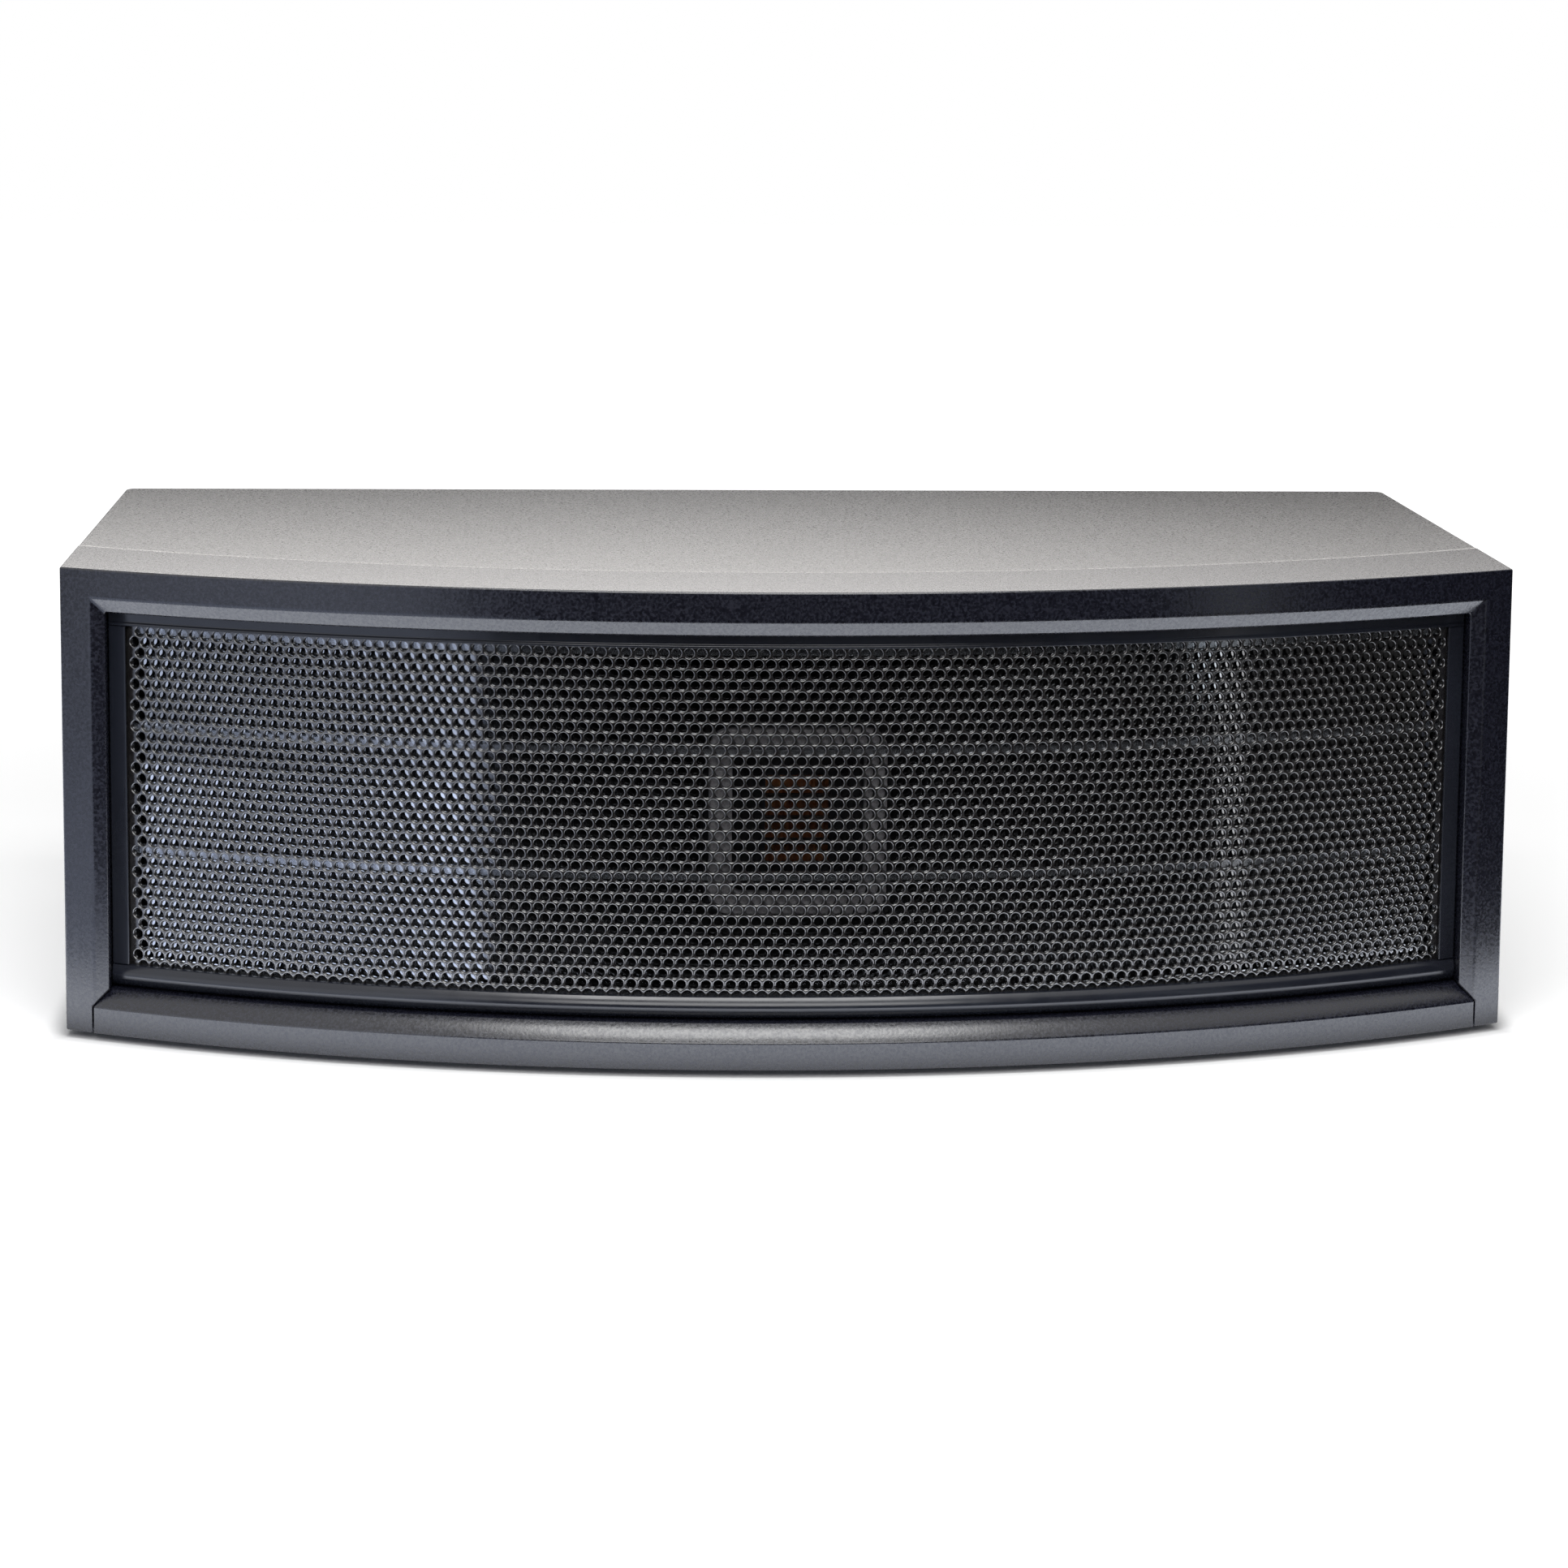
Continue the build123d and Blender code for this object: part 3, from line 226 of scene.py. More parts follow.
class Finish:
    """A node material built around one principled shader; textures use the object's own metres."""

    def __init__(self, name, rough, metallic=0.0):
        self.name = name
        self.material = bpy.data.materials.new(name)
        self.material.use_nodes = True
        self.tree = self.material.node_tree
        self.shader = self.tree.nodes["Principled BSDF"]
        self.place = add_node(self.tree, "TexCoord", {}).outputs["Object"]
        self.put("Roughness", rough)
        self.put("Metallic", metallic)

    def put(self, socket, value):
        """Set one of the shader's own values."""
        self.shader.inputs[socket].default_value = value

    def feed(self, socket, source):
        """Let a texture drive one of the shader's values."""
        self.tree.links.new(source, self.shader.inputs[socket])

    def noise(self, size, detail=2.0, stretch=None):
        """Noise whose features are about this many millimetres across."""
        place = self.place
        if stretch:
            place = add_node(self.tree, "Mapping", {"Vector": place, "Scale": stretch}).outputs["Vector"]
        inputs = {"Vector": place, "Scale": 1 / (size * MM), "Detail": detail}
        return add_node(self.tree, "TexNoise", inputs).outputs["Fac"]

    def cells(self, size):
        """Distance to the nearest of scattered points, about this many millimetres apart."""
        inputs = {"Vector": self.place, "Scale": 1 / (size * MM)}
        return add_node(self.tree, "TexVoronoi", inputs, feature="F1").outputs["Distance"]

    def colour(self, source, dark, light, low=0.3, high=0.7):
        """Base colour that goes from dark to light while a texture goes from low to high."""
        ramp = add_node(self.tree, "ValToRGB", {"Fac": source})
        for element, position, tone in zip(ramp.color_ramp.elements, (low, high), (dark, light)):
            element.position = position
            element.color = (*tone, 1.0)
        self.feed("Base Color", ramp.outputs["Color"])

    def rough(self, source, low, high):
        """Roughness that follows a texture between two values."""
        self.feed("Roughness", ranged(self.tree, source, 0.3, 0.7, low, high))

    def bump(self, source, height):
        """Relief of this many millimetres."""
        inputs = {"Height": source, "Distance": height * MM, "Strength": 1.0}
        self.feed("Normal", add_node(self.tree, "Bump", inputs).outputs["Normal"])


GLOSS_SPREAD = 0.07


def speckled(name, dark, light, rough, grain, relief, metallic=0.0, ior=1.5):
    """Finish with a fine two-tone grain, matching roughness and relief."""
    finish = Finish(name, rough, metallic)
    texture = finish.noise(grain)
    finish.colour(texture, dark, light, low=0.32, high=0.68)
    finish.rough(texture, rough - GLOSS_SPREAD, rough + GLOSS_SPREAD)
    finish.bump(texture, relief)
    finish.put("IOR", ior)
    return finish


def grey_speckled(name, dark, light, **look):
    """Speckled finish whose two tones are neutral greys."""
    return speckled(name, (dark, dark, dark), (light, light, light), **look)


# Painted front and boards: satin black with a fine grain
satin = speckled(
    "satin_paint", (0.003, 0.003, 0.006), (0.010, 0.011, 0.020), rough=0.26, grain=1.1, relief=0.04, ior=1.65
)
cabinet_paint = speckled(
    "board_paint", (0.004, 0.004, 0.006), (0.013, 0.013, 0.018), rough=0.27, grain=1.2, relief=0.075, ior=1.8
)

# The top board's front edge is painted pale where it meets the bezel: a painted highlight standing in for
# light caught along the seam
SEAM_HIGHLIGHT_WIDTH = 1.5
SEAM_HIGHLIGHT_COLOUR = (0.34, 0.33, 0.32, 1.0)
tree = cabinet_paint.tree
inputs = {0: cabinet_paint.place, 1: (1.0, 1.0, 0.0)}
flat_place = add_node(tree, "VectorMath", inputs, operation="MULTIPLY").outputs["Vector"]
edge_from, edge_to = (BOARD_RADIUS - SEAM_HIGHLIGHT_WIDTH) * MM, (BOARD_RADIUS - SEAM_HIGHLIGHT_WIDTH / 2) * MM
at_edge = ranged(tree, from_axis(tree, flat_place), edge_from, edge_to)
height = add_node(tree, "SeparateXYZ", {"Vector": cabinet_paint.place}).outputs["Z"]
on_top = ranged(tree, height, (TOP - 2 * SEAM_HIGHLIGHT_WIDTH) * MM, (TOP - SEAM_HIGHLIGHT_WIDTH) * MM)
seam_highlight_mask = calculate(tree, "MULTIPLY", at_edge, on_top)
paint = cabinet_paint.shader.inputs["Base Color"].links[0].from_socket
# Painted highlight along the seam, mixed into the paint's colour
highlighted_paint = add_node(tree, "Mix", {"Factor": seam_highlight_mask, "A": paint, "B": SEAM_HIGHLIGHT_COLOUR}, data_type="RGBA")
cabinet_paint.feed("Base Color", highlighted_paint.outputs["Result"])

# Strips round the panel: smooth black plastic with soft waves in its gloss
trim = Finish("trim_black", 0.22)
trim.colour(trim.noise(60, detail=1.0), (0.009, 0.010, 0.015), (0.013, 0.015, 0.022))
trim.rough(trim.noise(9), 0.18, 0.27)
trim.bump(trim.noise(45, detail=1.0), height=0.08)

# Perforated sheets: the front one has a dark warm coat, glossy enough for bright rims
stator = speckled(
    "stator_coat", (0.008, 0.007, 0.007), (0.015, 0.014, 0.014), rough=0.16, grain=1.6, relief=0.005, ior=2.1
)
# The rear sheet's coat is a darker, rougher copy of the front one's: painted shade for the sheet that sits
# behind the front one
shaded_rear_coat = grey_speckled("rear_stator_shaded_coat", 0.004, 0.008, rough=0.55, grain=1.6, relief=0.01)


def film_finish(name, alpha):
    """Clear film with a metallic coat that mirrors the room as far as alpha says."""
    finish = Finish(name, 0.05, metallic=1.0)
    finish.colour(finish.noise(30, detail=1.0), (0.86, 0.88, 0.92), (0.92, 0.94, 0.97))
    finish.rough(finish.noise(80, detail=1.0), 0.03, 0.07)
    finish.put("Alpha", alpha)
    return finish


# In front of the tweeter the film has hardly any coat
film = film_finish("film_clear", alpha=0.65)
window = film_finish("film_window", alpha=0.18)
clear = Finish("clear_plastic", 0.15, metallic=0.9)
clear.colour(clear.noise(4), (0.62, 0.65, 0.70), (0.74, 0.77, 0.82))
clear.rough(clear.noise(12), 0.10, 0.20)
clear.put("Alpha", 0.30)

# What is behind the panel and in the cabinet
baffle = grey_speckled("baffle_board", 0.004, 0.008, rough=0.75, grain=1.2, relief=0.03)
foam = Finish("foam_grey", 0.95)
foam.colour(foam.cells(0.9), (0.35, 0.34, 0.365), (0.48, 0.47, 0.495), low=0.1)
foam.bump(foam.cells(0.9), height=0.25)
black_plastic = speckled(
    "black_plastic", (0.010, 0.010, 0.010), (0.018, 0.018, 0.019), rough=0.48, grain=0.6, relief=0.02
)
pleats = Finish("pleat_film", 0.32)
pleats.colour(pleats.noise(7), (0.30, 0.105, 0.035), (0.48, 0.20, 0.066))
pleats.rough(pleats.noise(3), 0.25, 0.40)
pleats.bump(pleats.noise(2), height=0.04)
steel = Finish("dark_steel", 0.42, metallic=0.85)
brushed = steel.noise(1.2, detail=3.0, stretch=(1, 1, 6))
steel.colour(brushed, (0.055, 0.055, 0.060), (0.11, 0.11, 0.115))
steel.rough(steel.noise(2.5), 0.36, 0.50)
steel.bump(steel.noise(0.8), height=0.01)
cone = Finish("cone_paper", 0.8)
cone.colour(cone.noise(1.8, detail=5.0), (0.012, 0.012, 0.013), (0.030, 0.029, 0.028))
cone.bump(cone.noise(0.9, detail=4.0), height=0.06)
rubber = grey_speckled("black_rubber", 0.007, 0.014, rough=0.62, grain=0.9, relief=0.03)
copper = Finish("copper", 0.33, metallic=0.95)
copper.colour(copper.noise(0.7, stretch=(1, 1, 9)), (0.42, 0.14, 0.055), (0.66, 0.25, 0.11))
copper.bump(copper.noise(0.7, detail=1.0, stretch=(1, 1, 9)), height=0.10)
board_green = Finish("board_green", 0.38)
board_green.colour(board_green.noise(3.5, detail=3.0), (0.006, 0.055, 0.024), (0.012, 0.095, 0.040))
board_green.rough(board_green.noise(6), 0.30, 0.46)
board_green.bump(board_green.noise(1.2), height=0.02)
wood = Finish("bare_wood", 0.72)
wood.colour(wood.noise(2.2, detail=4.0, stretch=(0.12, 1, 1)), (0.34, 0.21, 0.11), (0.52, 0.35, 0.20))
wood.bump(wood.noise(1.2, detail=4.0, stretch=(0.12, 1, 1)), height=0.06)

# Rear hardware
screw_black = speckled(
    "screw_black",
    (0.012, 0.012, 0.013),
    (0.028, 0.028, 0.030),
    rough=0.36,
    grain=0.5,
    relief=0.012,
    metallic=0.6,
)
brass = Finish("gold_brass", 0.24, metallic=1.0)
brass.colour(brass.noise(5), (0.62, 0.40, 0.13), (0.78, 0.54, 0.22))
brass.rough(brass.noise(0.9, stretch=(1, 7, 1)), 0.18, 0.32)
brass.bump(brass.noise(0.6, stretch=(1, 7, 1)), height=0.006)
cap_red = speckled("cap_red", (0.30, 0.010, 0.012), (0.42, 0.020, 0.020), rough=0.36, grain=1.5, relief=0.02)
cap_black = speckled(
    "cap_black", (0.010, 0.010, 0.011), (0.020, 0.020, 0.021), rough=0.38, grain=1.5, relief=0.02
)

# Every solid that stays in view takes the finish of its own slot in the record
finishes = [satin, cabinet_paint, trim, stator, film, clear, baffle, foam, black_plastic, pleats]
finishes += [steel, cone, rubber, copper, board_green, screw_black, wood, brass, cap_red, cap_black]
by_slot = {finish.name: finish for finish in finishes}
for entry in frame["record"]["subparts"]:
    node_mesh = frame["nodes"][entry["node"]].data
    node_mesh.materials.clear()
    node_mesh.materials.append(by_slot[entry["material_slot"]].material)


def bowed(bm):
    """Cut flat strips and bend them: a point's Y holds its radius from the front's axis until here."""
    cut = -HALF_WIDTH + STRIP
    while cut < HALF_WIDTH - STRIP / 2:
        geometry = bm.verts[:] + bm.edges[:] + bm.faces[:]
        bmesh.ops.bisect_plane(bm, geom=geometry, dist=0.01, plane_co=(cut, 0, 0), plane_no=(1, 0, 0))
        cut += STRIP
    for vert in bm.verts:
        vert.co.y = arc_y(vert.co.y, vert.co.x)
    return bm


def flat_solid(points, faces):
    """Closed bmesh from points (x, radius, z) and faces."""
    bm = bmesh.new()
    verts = [bm.verts.new(p) for p in points]
    for face in faces:
        bm.faces.new([verts[i] for i in face])
    return bm


def swept_bar(name, half_width, profile, material, start=None):
    """Bowed bar with one profile of (radius, z) points all along it."""
    left = -half_width if start is None else start
    count = len(profile)
    points = [(left, r, z) for r, z in profile] + [(half_width, r, z) for r, z in profile]
    faces = [tuple(range(count)), tuple(range(2 * count - 1, count - 1, -1))]
    for i in range(count):
        j = (i + 1) % count
        faces.append((i, j, count + j, count + i))
    return bmesh_piece(name, bowed(flat_solid(points, faces)), material)


# Front bezel: an arch whose inner edge slopes down to the opening; the slope is flatter than the
# solid's, so that it mirrors the floor evenly, as in the photograph
inner = OPENING_HALF + BEZEL_CHAMFER
leg_edge = RAIL_HALF + RAIL_GAP
notch = RAIL_TOP - RAIL_CHAMFER
right_half = [
    (HALF_WIDTH, TOP),
    (HALF_WIDTH, BASE),
    (leg_edge, BASE),
    (leg_edge, notch),
    (inner, notch + leg_edge - inner),
    (inner, OPENING_TOP + BEZEL_CHAMFER),
]
arch = [(-x, z) for x, z in right_half] + right_half
chamfered = [(OPENING_HALF, RAIL_TOP + RAIL_GAP), (OPENING_HALF, OPENING_TOP)]
chamfered = [(-x, z) for x, z in chamfered] + chamfered
points = [(x, FRONT_RADIUS, z) for x, z in arch]
for row in (arch[:4], chamfered[:2], arch[6:10], chamfered[2:]):
    points += [(x, SEAM_RADIUS, z) for x, z in row]
points += [(x, FRONT_RADIUS - CHAMFER_DEPTH, z) for x, z in chamfered]
# Points 0 to 11 are the front's, 12 to 23 the rear's and 24 to 27 the slope's inner edge
faces = [
    (0, 6, 11, 5),
    (12, 18, 23, 17),
    (5, 11, 27, 25),
    (25, 27, 23, 17),
    (0, 6, 18, 12),
]
for f, b, c in ((0, 12, 24), (6, 18, 26)):
    faces.append((f, f + 1, f + 2, f + 3, f + 4, f + 5))
    faces.append((b, b + 1, b + 2, b + 3, b + 4, b + 5))
    faces.append((f, f + 1, b + 1, b))
    faces.append((f + 1, f + 2, b + 2, b + 1))
    faces.append((f + 2, f + 3, b + 3, b + 2))
    faces.append((f + 3, f + 4, c, b + 4, b + 3))
    faces.append((f + 4, f + 5, c + 1, c))
    faces.append((c, c + 1, b + 5, b + 4))
bezel = bmesh_piece("bezel_arch", bowed(flat_solid(points, faces)), satin.material)


def at_seam(point):
    """True for points on the bezel's rear edge."""
    return abs(point.y - arc_y(SEAM_RADIUS, point.x)) < 0.1


soften(bezel, width=0.8, sharp=at_seam)
dress(bezel, "cabinet", "satin_paint", "front_bezel")

# Lower rail: its upper front edge is a soft round between two crisp lines
LEDGE_STEPS = 6
ledge = []
for step in range(LEDGE_STEPS + 1):
    share = step / LEDGE_STEPS
    lift = 4 * share * (1 - share) * RAIL_BULGE / sqrt(2)
    ledge.append((share * RAIL_CHAMFER, lift))
rail_points = []
for side in (-1, 1):
    rail_points += [(side * RAIL_HALF, FRONT_RADIUS, BASE), (side * RAIL_HALF, SEAM_RADIUS, BASE)]
    rail_points.append((side * RAIL_HALF, SEAM_RADIUS, notch))
    rail_points.append((side * OPENING_HALF, SEAM_RADIUS, RAIL_TOP))
    for rise, lift in reversed(ledge):
        x = RAIL_HALF - rise
        rail_points.append((side * x, FRONT_RADIUS - rise + lift, min(notch + rise + lift, RAIL_TOP)))
count = len(rail_points) // 2
rail_ends = [(0, 1, 2, count - 1), tuple(range(2, count))]
rail_faces = rail_ends + [tuple(count + i for i in reversed(face)) for face in rail_ends]
for i in range(count):
    j = (i + 1) % count
    rail_faces.append((i, j, count + j, count + i))
rail = bmesh_piece("lower_rail_bar", bowed(flat_solid(rail_points, rail_faces)), satin.material)
soften(rail, width=0.5)
dress(rail, "cabinet", "satin_paint", "lower_rail")

# Strips round the panel: the top one has a thin groove above its lip
LIP_HEIGHT = 1.0
GROOVE_RISE = 1.6
GROOVE_INSET = 0.5
back = PANEL_RADIUS + LAYER_GAP
lip = PANEL_RADIUS + TRIM_THICKNESS
low = PANEL_TOP - TRIM_TOP
top_profile = [(back, low), (lip, low), (lip, low + LIP_HEIGHT), (lip - GROOVE_INSET, low + GROOVE_RISE)]
top_profile += [(lip, PANEL_TOP), (back, PANEL_TOP)]
top_strip = swept_bar("top_strip", PANEL_HALF, top_profile, trim.material)
soften(top_strip, width=0.35)
dress(top_strip, "cabinet", "trim_black", "top_trim")

# The bottom one is a half round on a narrow foot
BOTTOM_STEPS = 8
ROUND_START, ROUND_SPAN = 0.18, 0.64
FOOT_HEIGHT, FOOT_DEPTH = 0.6, 1.2
bottom_profile = [(back, PANEL_BOTTOM), (back, PANEL_BOTTOM + TRIM_BOTTOM)]
for step in range(BOTTOM_STEPS + 1):
    share = step / BOTTOM_STEPS
    bulge = sin(pi * (ROUND_START + ROUND_SPAN * share))
    rise = PANEL_BOTTOM + TRIM_BOTTOM - share * (TRIM_BOTTOM - FOOT_HEIGHT)
    bottom_profile.append((back + (BOTTOM_TRIM_THICKNESS - LAYER_GAP) * bulge, rise))
bottom_profile.append((back + FOOT_DEPTH, PANEL_BOTTOM))
bottom_strip = swept_bar("bottom_strip", PANEL_HALF, bottom_profile, trim.material)
soften(bottom_strip, width=0.3, angle=40)
dress(bottom_strip, "cabinet", "trim_black", "bottom_trim")

side_low = PANEL_BOTTOM + TRIM_BOTTOM + LAYER_GAP
side_high = PANEL_TOP - TRIM_TOP - LAYER_GAP
side_profile = [(back, side_low), (lip, side_low), (lip, side_high), (back, side_high)]
for side, name in ((-1, "left"), (1, "right")):
    ends = sorted((side * PANEL_HALF, side * (PANEL_HALF - TRIM_SIDE)))
    strip = swept_bar(f"{name}_strip", ends[1], side_profile, trim.material, start=ends[0])
    soften(strip, width=0.6)
    dress(strip, "cabinet", "trim_black", f"{name}_trim")

# Perforated sheets: a cell of the honeycomb round each hole, in rows that step by half a pitch
PITCH = 4.79
ROW_STEP = PITCH * sqrt(3) / 2
ROWS = 33
FIRST_ROW = 28.75
FIRST_HOLE = (-262.9, -265.3)
HOLES_IN_ROW = (111, 112)
AROUND = 12
CIRCLE = [(cos(2 * pi * k / AROUND), sin(2 * pi * k / AROUND)) for k in range(AROUND)]
ARC_EDGE = PANEL_RADIUS * asin(PANEL_HALF / PANEL_RADIUS)
PAST_EDGE = 300.0
# Each ring is a distance from the hole's centre and a height above the sheet
RIM = ((2.36, 0.0), (2.16, -0.05), (1.98, -0.19), (1.87, -0.42), (1.84, -STATOR_THICKNESS))
PLAIN_HOLE = ((2.2, 0.0), (2.2, -STATOR_THICKNESS))
# The rear sheet sits a little lower, so that a viewer above the front looks through both
REAR_DROP = 1.4


def cell_edge(corner):
    """Distance from a hole's centre to the edge of its cell, at one of twelve directions."""
    return PITCH / sqrt(3) if corner % 2 else PITCH / 2


def rolled(radius, arc, rise, height):
    """Point on a rolled sheet; arcs are measured along the front sheet."""
    angle = arc / PANEL_RADIUS
    reach = radius + height
    return (reach * sin(angle), AXIS_Y - reach * cos(angle), rise)


def hole_rows(drop=0.0):
    """Rows of holes from the bottom up, as arcs and a height."""
    rows = []
    for row in range(ROWS):
        odd = row % 2
        arcs = [FIRST_HOLE[odd] + PITCH * number for number in range(HOLES_IN_ROW[odd])]
        rows.append((arcs, FIRST_ROW - drop + ROW_STEP * row))
    return rows


def perforated(radius, rings, arc_from, arc_to, drop=0.0):
    """Points and faces of the cells whose holes lie between two arcs."""
    points, faces = [], []
    for arcs, rise in hole_rows(drop):
        for arc in arcs:
            if not arc_from <= arc < arc_to:
                continue
            first = len(points)
            for k, (across, up) in enumerate(CIRCLE):
                reach = cell_edge(k)
                points.append(rolled(radius, arc + across * reach, rise + up * reach, 0.0))
            for reach, height in rings:
                for across, up in CIRCLE:
                    points.append(rolled(radius, arc + across * reach, rise + up * reach, height))
            for ring in range(len(rings)):
                start = first + ring * AROUND
                for k in range(AROUND):
                    n = (k + 1) % AROUND
                    faces.append((start + k, start + n, start + AROUND + n, start + AROUND + k))
    return points, faces


def margin_paths(drop):
    """The honeycomb's outline: bottom and top from left to right, left and right from bottom to top."""
    rows = hole_rows(drop)

    def spot(arc, rise, k):
        across, up = CIRCLE[k]
        reach = cell_edge(k)
        return (arc + across * reach, rise + up * reach)

    bottom = [spot(arc, rows[0][1], k) for arc in rows[0][0] for k in (7, 8, 9, 10)]
    bottom.append(spot(rows[0][0][-1], rows[0][1], 11))
    top = [spot(arc, rows[-1][1], k) for arc in rows[-1][0] for k in (5, 4, 3, 2)]
    top.append(spot(rows[-1][0][-1], rows[-1][1], 1))
    left, right = [], []
    for row, (arcs, rise) in enumerate(rows):
        odd = row % 2
        left += [spot(arcs[0], rise, k) for k in ((8, 7, 6, 5, 4) if odd else (7, 6, 5))]
        right += [spot(arcs[-1], rise, k) for k in ((10, 11, 0, 1, 2) if odd else (11, 0, 1))]
    return bottom, top, left, right


def margins(radius, drop=0.0):
    """Plain border between the honeycomb and the sheet's edges."""
    points, faces = [], []

    def band(path, outer):
        first = len(points)
        for near, far in zip(path, outer):
            points.append(rolled(radius, near[0], near[1], 0.0))
            points.append(rolled(radius, far[0], far[1], 0.0))
        for i in range(len(path) - 1):
            a = first + 2 * i
            faces.append((a, a + 1, a + 3, a + 2))

    bottom, top, left, right = margin_paths(drop)
    band(bottom, [(arc, PANEL_BOTTOM) for arc, rise in bottom])
    band(top, [(arc, PANEL_TOP) for arc, rise in top])
    band(left, [(-ARC_EDGE, rise) for arc, rise in left])
    band(right, [(ARC_EDGE, rise) for arc, rise in right])
    for path, edge_arc in ((left, -ARC_EDGE), (right, ARC_EDGE)):
        for near, edge_rise in ((path[0], PANEL_BOTTOM), (path[-1], PANEL_TOP)):
            band([near, (near[0], edge_rise)], [(edge_arc, near[1]), (edge_arc, edge_rise)])
    return points, faces


# The front sheet is in three pieces and a border, to keep each piece small
THIRD = 89.0
front_parts = {
    "left": perforated(PANEL_RADIUS, RIM, -PAST_EDGE, -THIRD),
    "middle": perforated(PANEL_RADIUS, RIM, -THIRD, THIRD),
    "right": perforated(PANEL_RADIUS, RIM, THIRD, PAST_EDGE),
    "border": margins(PANEL_RADIUS),
}
for name, (points, faces) in front_parts.items():
    sheet = mesh_piece(f"front_sheet_{name}", points, faces, stator.material)
    dress(sheet, "cabinet", "stator_coat", "front_stator")
rear_parts = {
    "rear_sheet": perforated(REAR_STATOR_RADIUS, PLAIN_HOLE, -PAST_EDGE, PAST_EDGE, REAR_DROP),
    "rear_sheet_border": margins(REAR_STATOR_RADIUS, REAR_DROP),
}
for name, (points, faces) in rear_parts.items():
    sheet = mesh_piece(name, points, faces, shaded_rear_coat.material)
    dress(sheet, "cabinet", "stator_coat", "rear_stator")

# Film: one smooth rolled sheet, with its bare window as a piece of its own
FILM_COLUMNS = 220
FILM_ROWS = 32
WINDOW_HALF_WIDTH = 38.0
WINDOW_HALF_HEIGHT = 40.0


def film_spot(column, row):
    """Arc and height of a place on the film's grid."""
    arc = ARC_EDGE * (2 * column / FILM_COLUMNS - 1)
    return arc, PANEL_BOTTOM + (PANEL_TOP - PANEL_BOTTOM) * row / FILM_ROWS


def in_window(arc, rise):
    """True in front of the tweeter."""
    return abs(arc) < WINDOW_HALF_WIDTH and abs(rise - MIDDLE) < WINDOW_HALF_HEIGHT


def film_piece(name, material, inside):
    """The cells of the film's grid inside or outside the window."""
    places, points, faces = {}, [], []
    for column in range(FILM_COLUMNS):
        for row in range(FILM_ROWS):
            if in_window(*film_spot(column + 0.5, row + 0.5)) != inside:
                continue
            face = []
            for corner in ((column, row), (column + 1, row), (column + 1, row + 1), (column, row + 1)):
                if corner not in places:
                    places[corner] = len(points)
                    points.append(rolled(FILM_RADIUS, *film_spot(*corner), 0.0))
                face.append(places[corner])
            faces.append(face)
    dress(mesh_piece(name, points, faces, material), "cabinet", "film_clear", "diaphragm_film")


film_piece("film_sheet", film.material, inside=False)
film_piece("film_window", window.material, inside=True)

# Foam gasket round the tweeter: a soft square frame
GASKET_HALF_WIDTH = 34.3
GASKET_HALF_HEIGHT = 36.35
GASKET_BORDER = 9.0
GASKET_CORNER = 8.0
GASKET_INNER_CORNER = 4.0
low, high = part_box("tweeter_foam_gasket")
bm = bmesh.new()
rings = []
for y in (low[1] / MM, high[1] / MM):
    for inset, corner in ((0.0, GASKET_CORNER), (GASKET_BORDER, GASKET_INNER_CORNER)):
        half_width, half_height = GASKET_HALF_WIDTH - inset, GASKET_HALF_HEIGHT - inset
        outline = rounded_outline(half_width, half_height, corner, y, CORNER_STEPS)
        rings.append([bm.verts.new(point) for point in outline])
front_outer, front_inner, back_outer, back_inner = rings
join_rings(bm, front_outer, front_inner)
join_rings(bm, front_inner, back_inner)
join_rings(bm, back_inner, back_outer)
join_rings(bm, back_outer, front_outer)
gasket = bmesh_piece("gasket_ring", bm, foam.material)
soften(gasket, width=1.0)
dress(gasket, "cabinet", "foam_grey", "tweeter_foam_gasket")

# Cabinet behind the seam: one painted wrap of four boards, open to the rear panel
INSIDE_HALF = HALF_WIDTH - BOARD
ARC_STEPS = 114
front_xs = [HALF_WIDTH * (2 * i / ARC_STEPS - 1) for i in range(ARC_STEPS + 1)]


def plan_outline():
    """Outer plan from the front left corner round to the rear left one."""
    outline = [(x, arc_y(BOARD_RADIUS, x)) for x in front_xs]
    for side in (1, -1):
        corner = []
        for step in range(CORNER_STEPS + 1):
            angle = pi / 2 * step / CORNER_STEPS
            x = side * (HALF_WIDTH - REAR_CORNER_RADIUS + REAR_CORNER_RADIUS * cos(angle))
            corner.append((x, BACK_Y - REAR_CORNER_RADIUS + REAR_CORNER_RADIUS * sin(angle)))
        outline += corner if side > 0 else corner[::-1]
    return outline


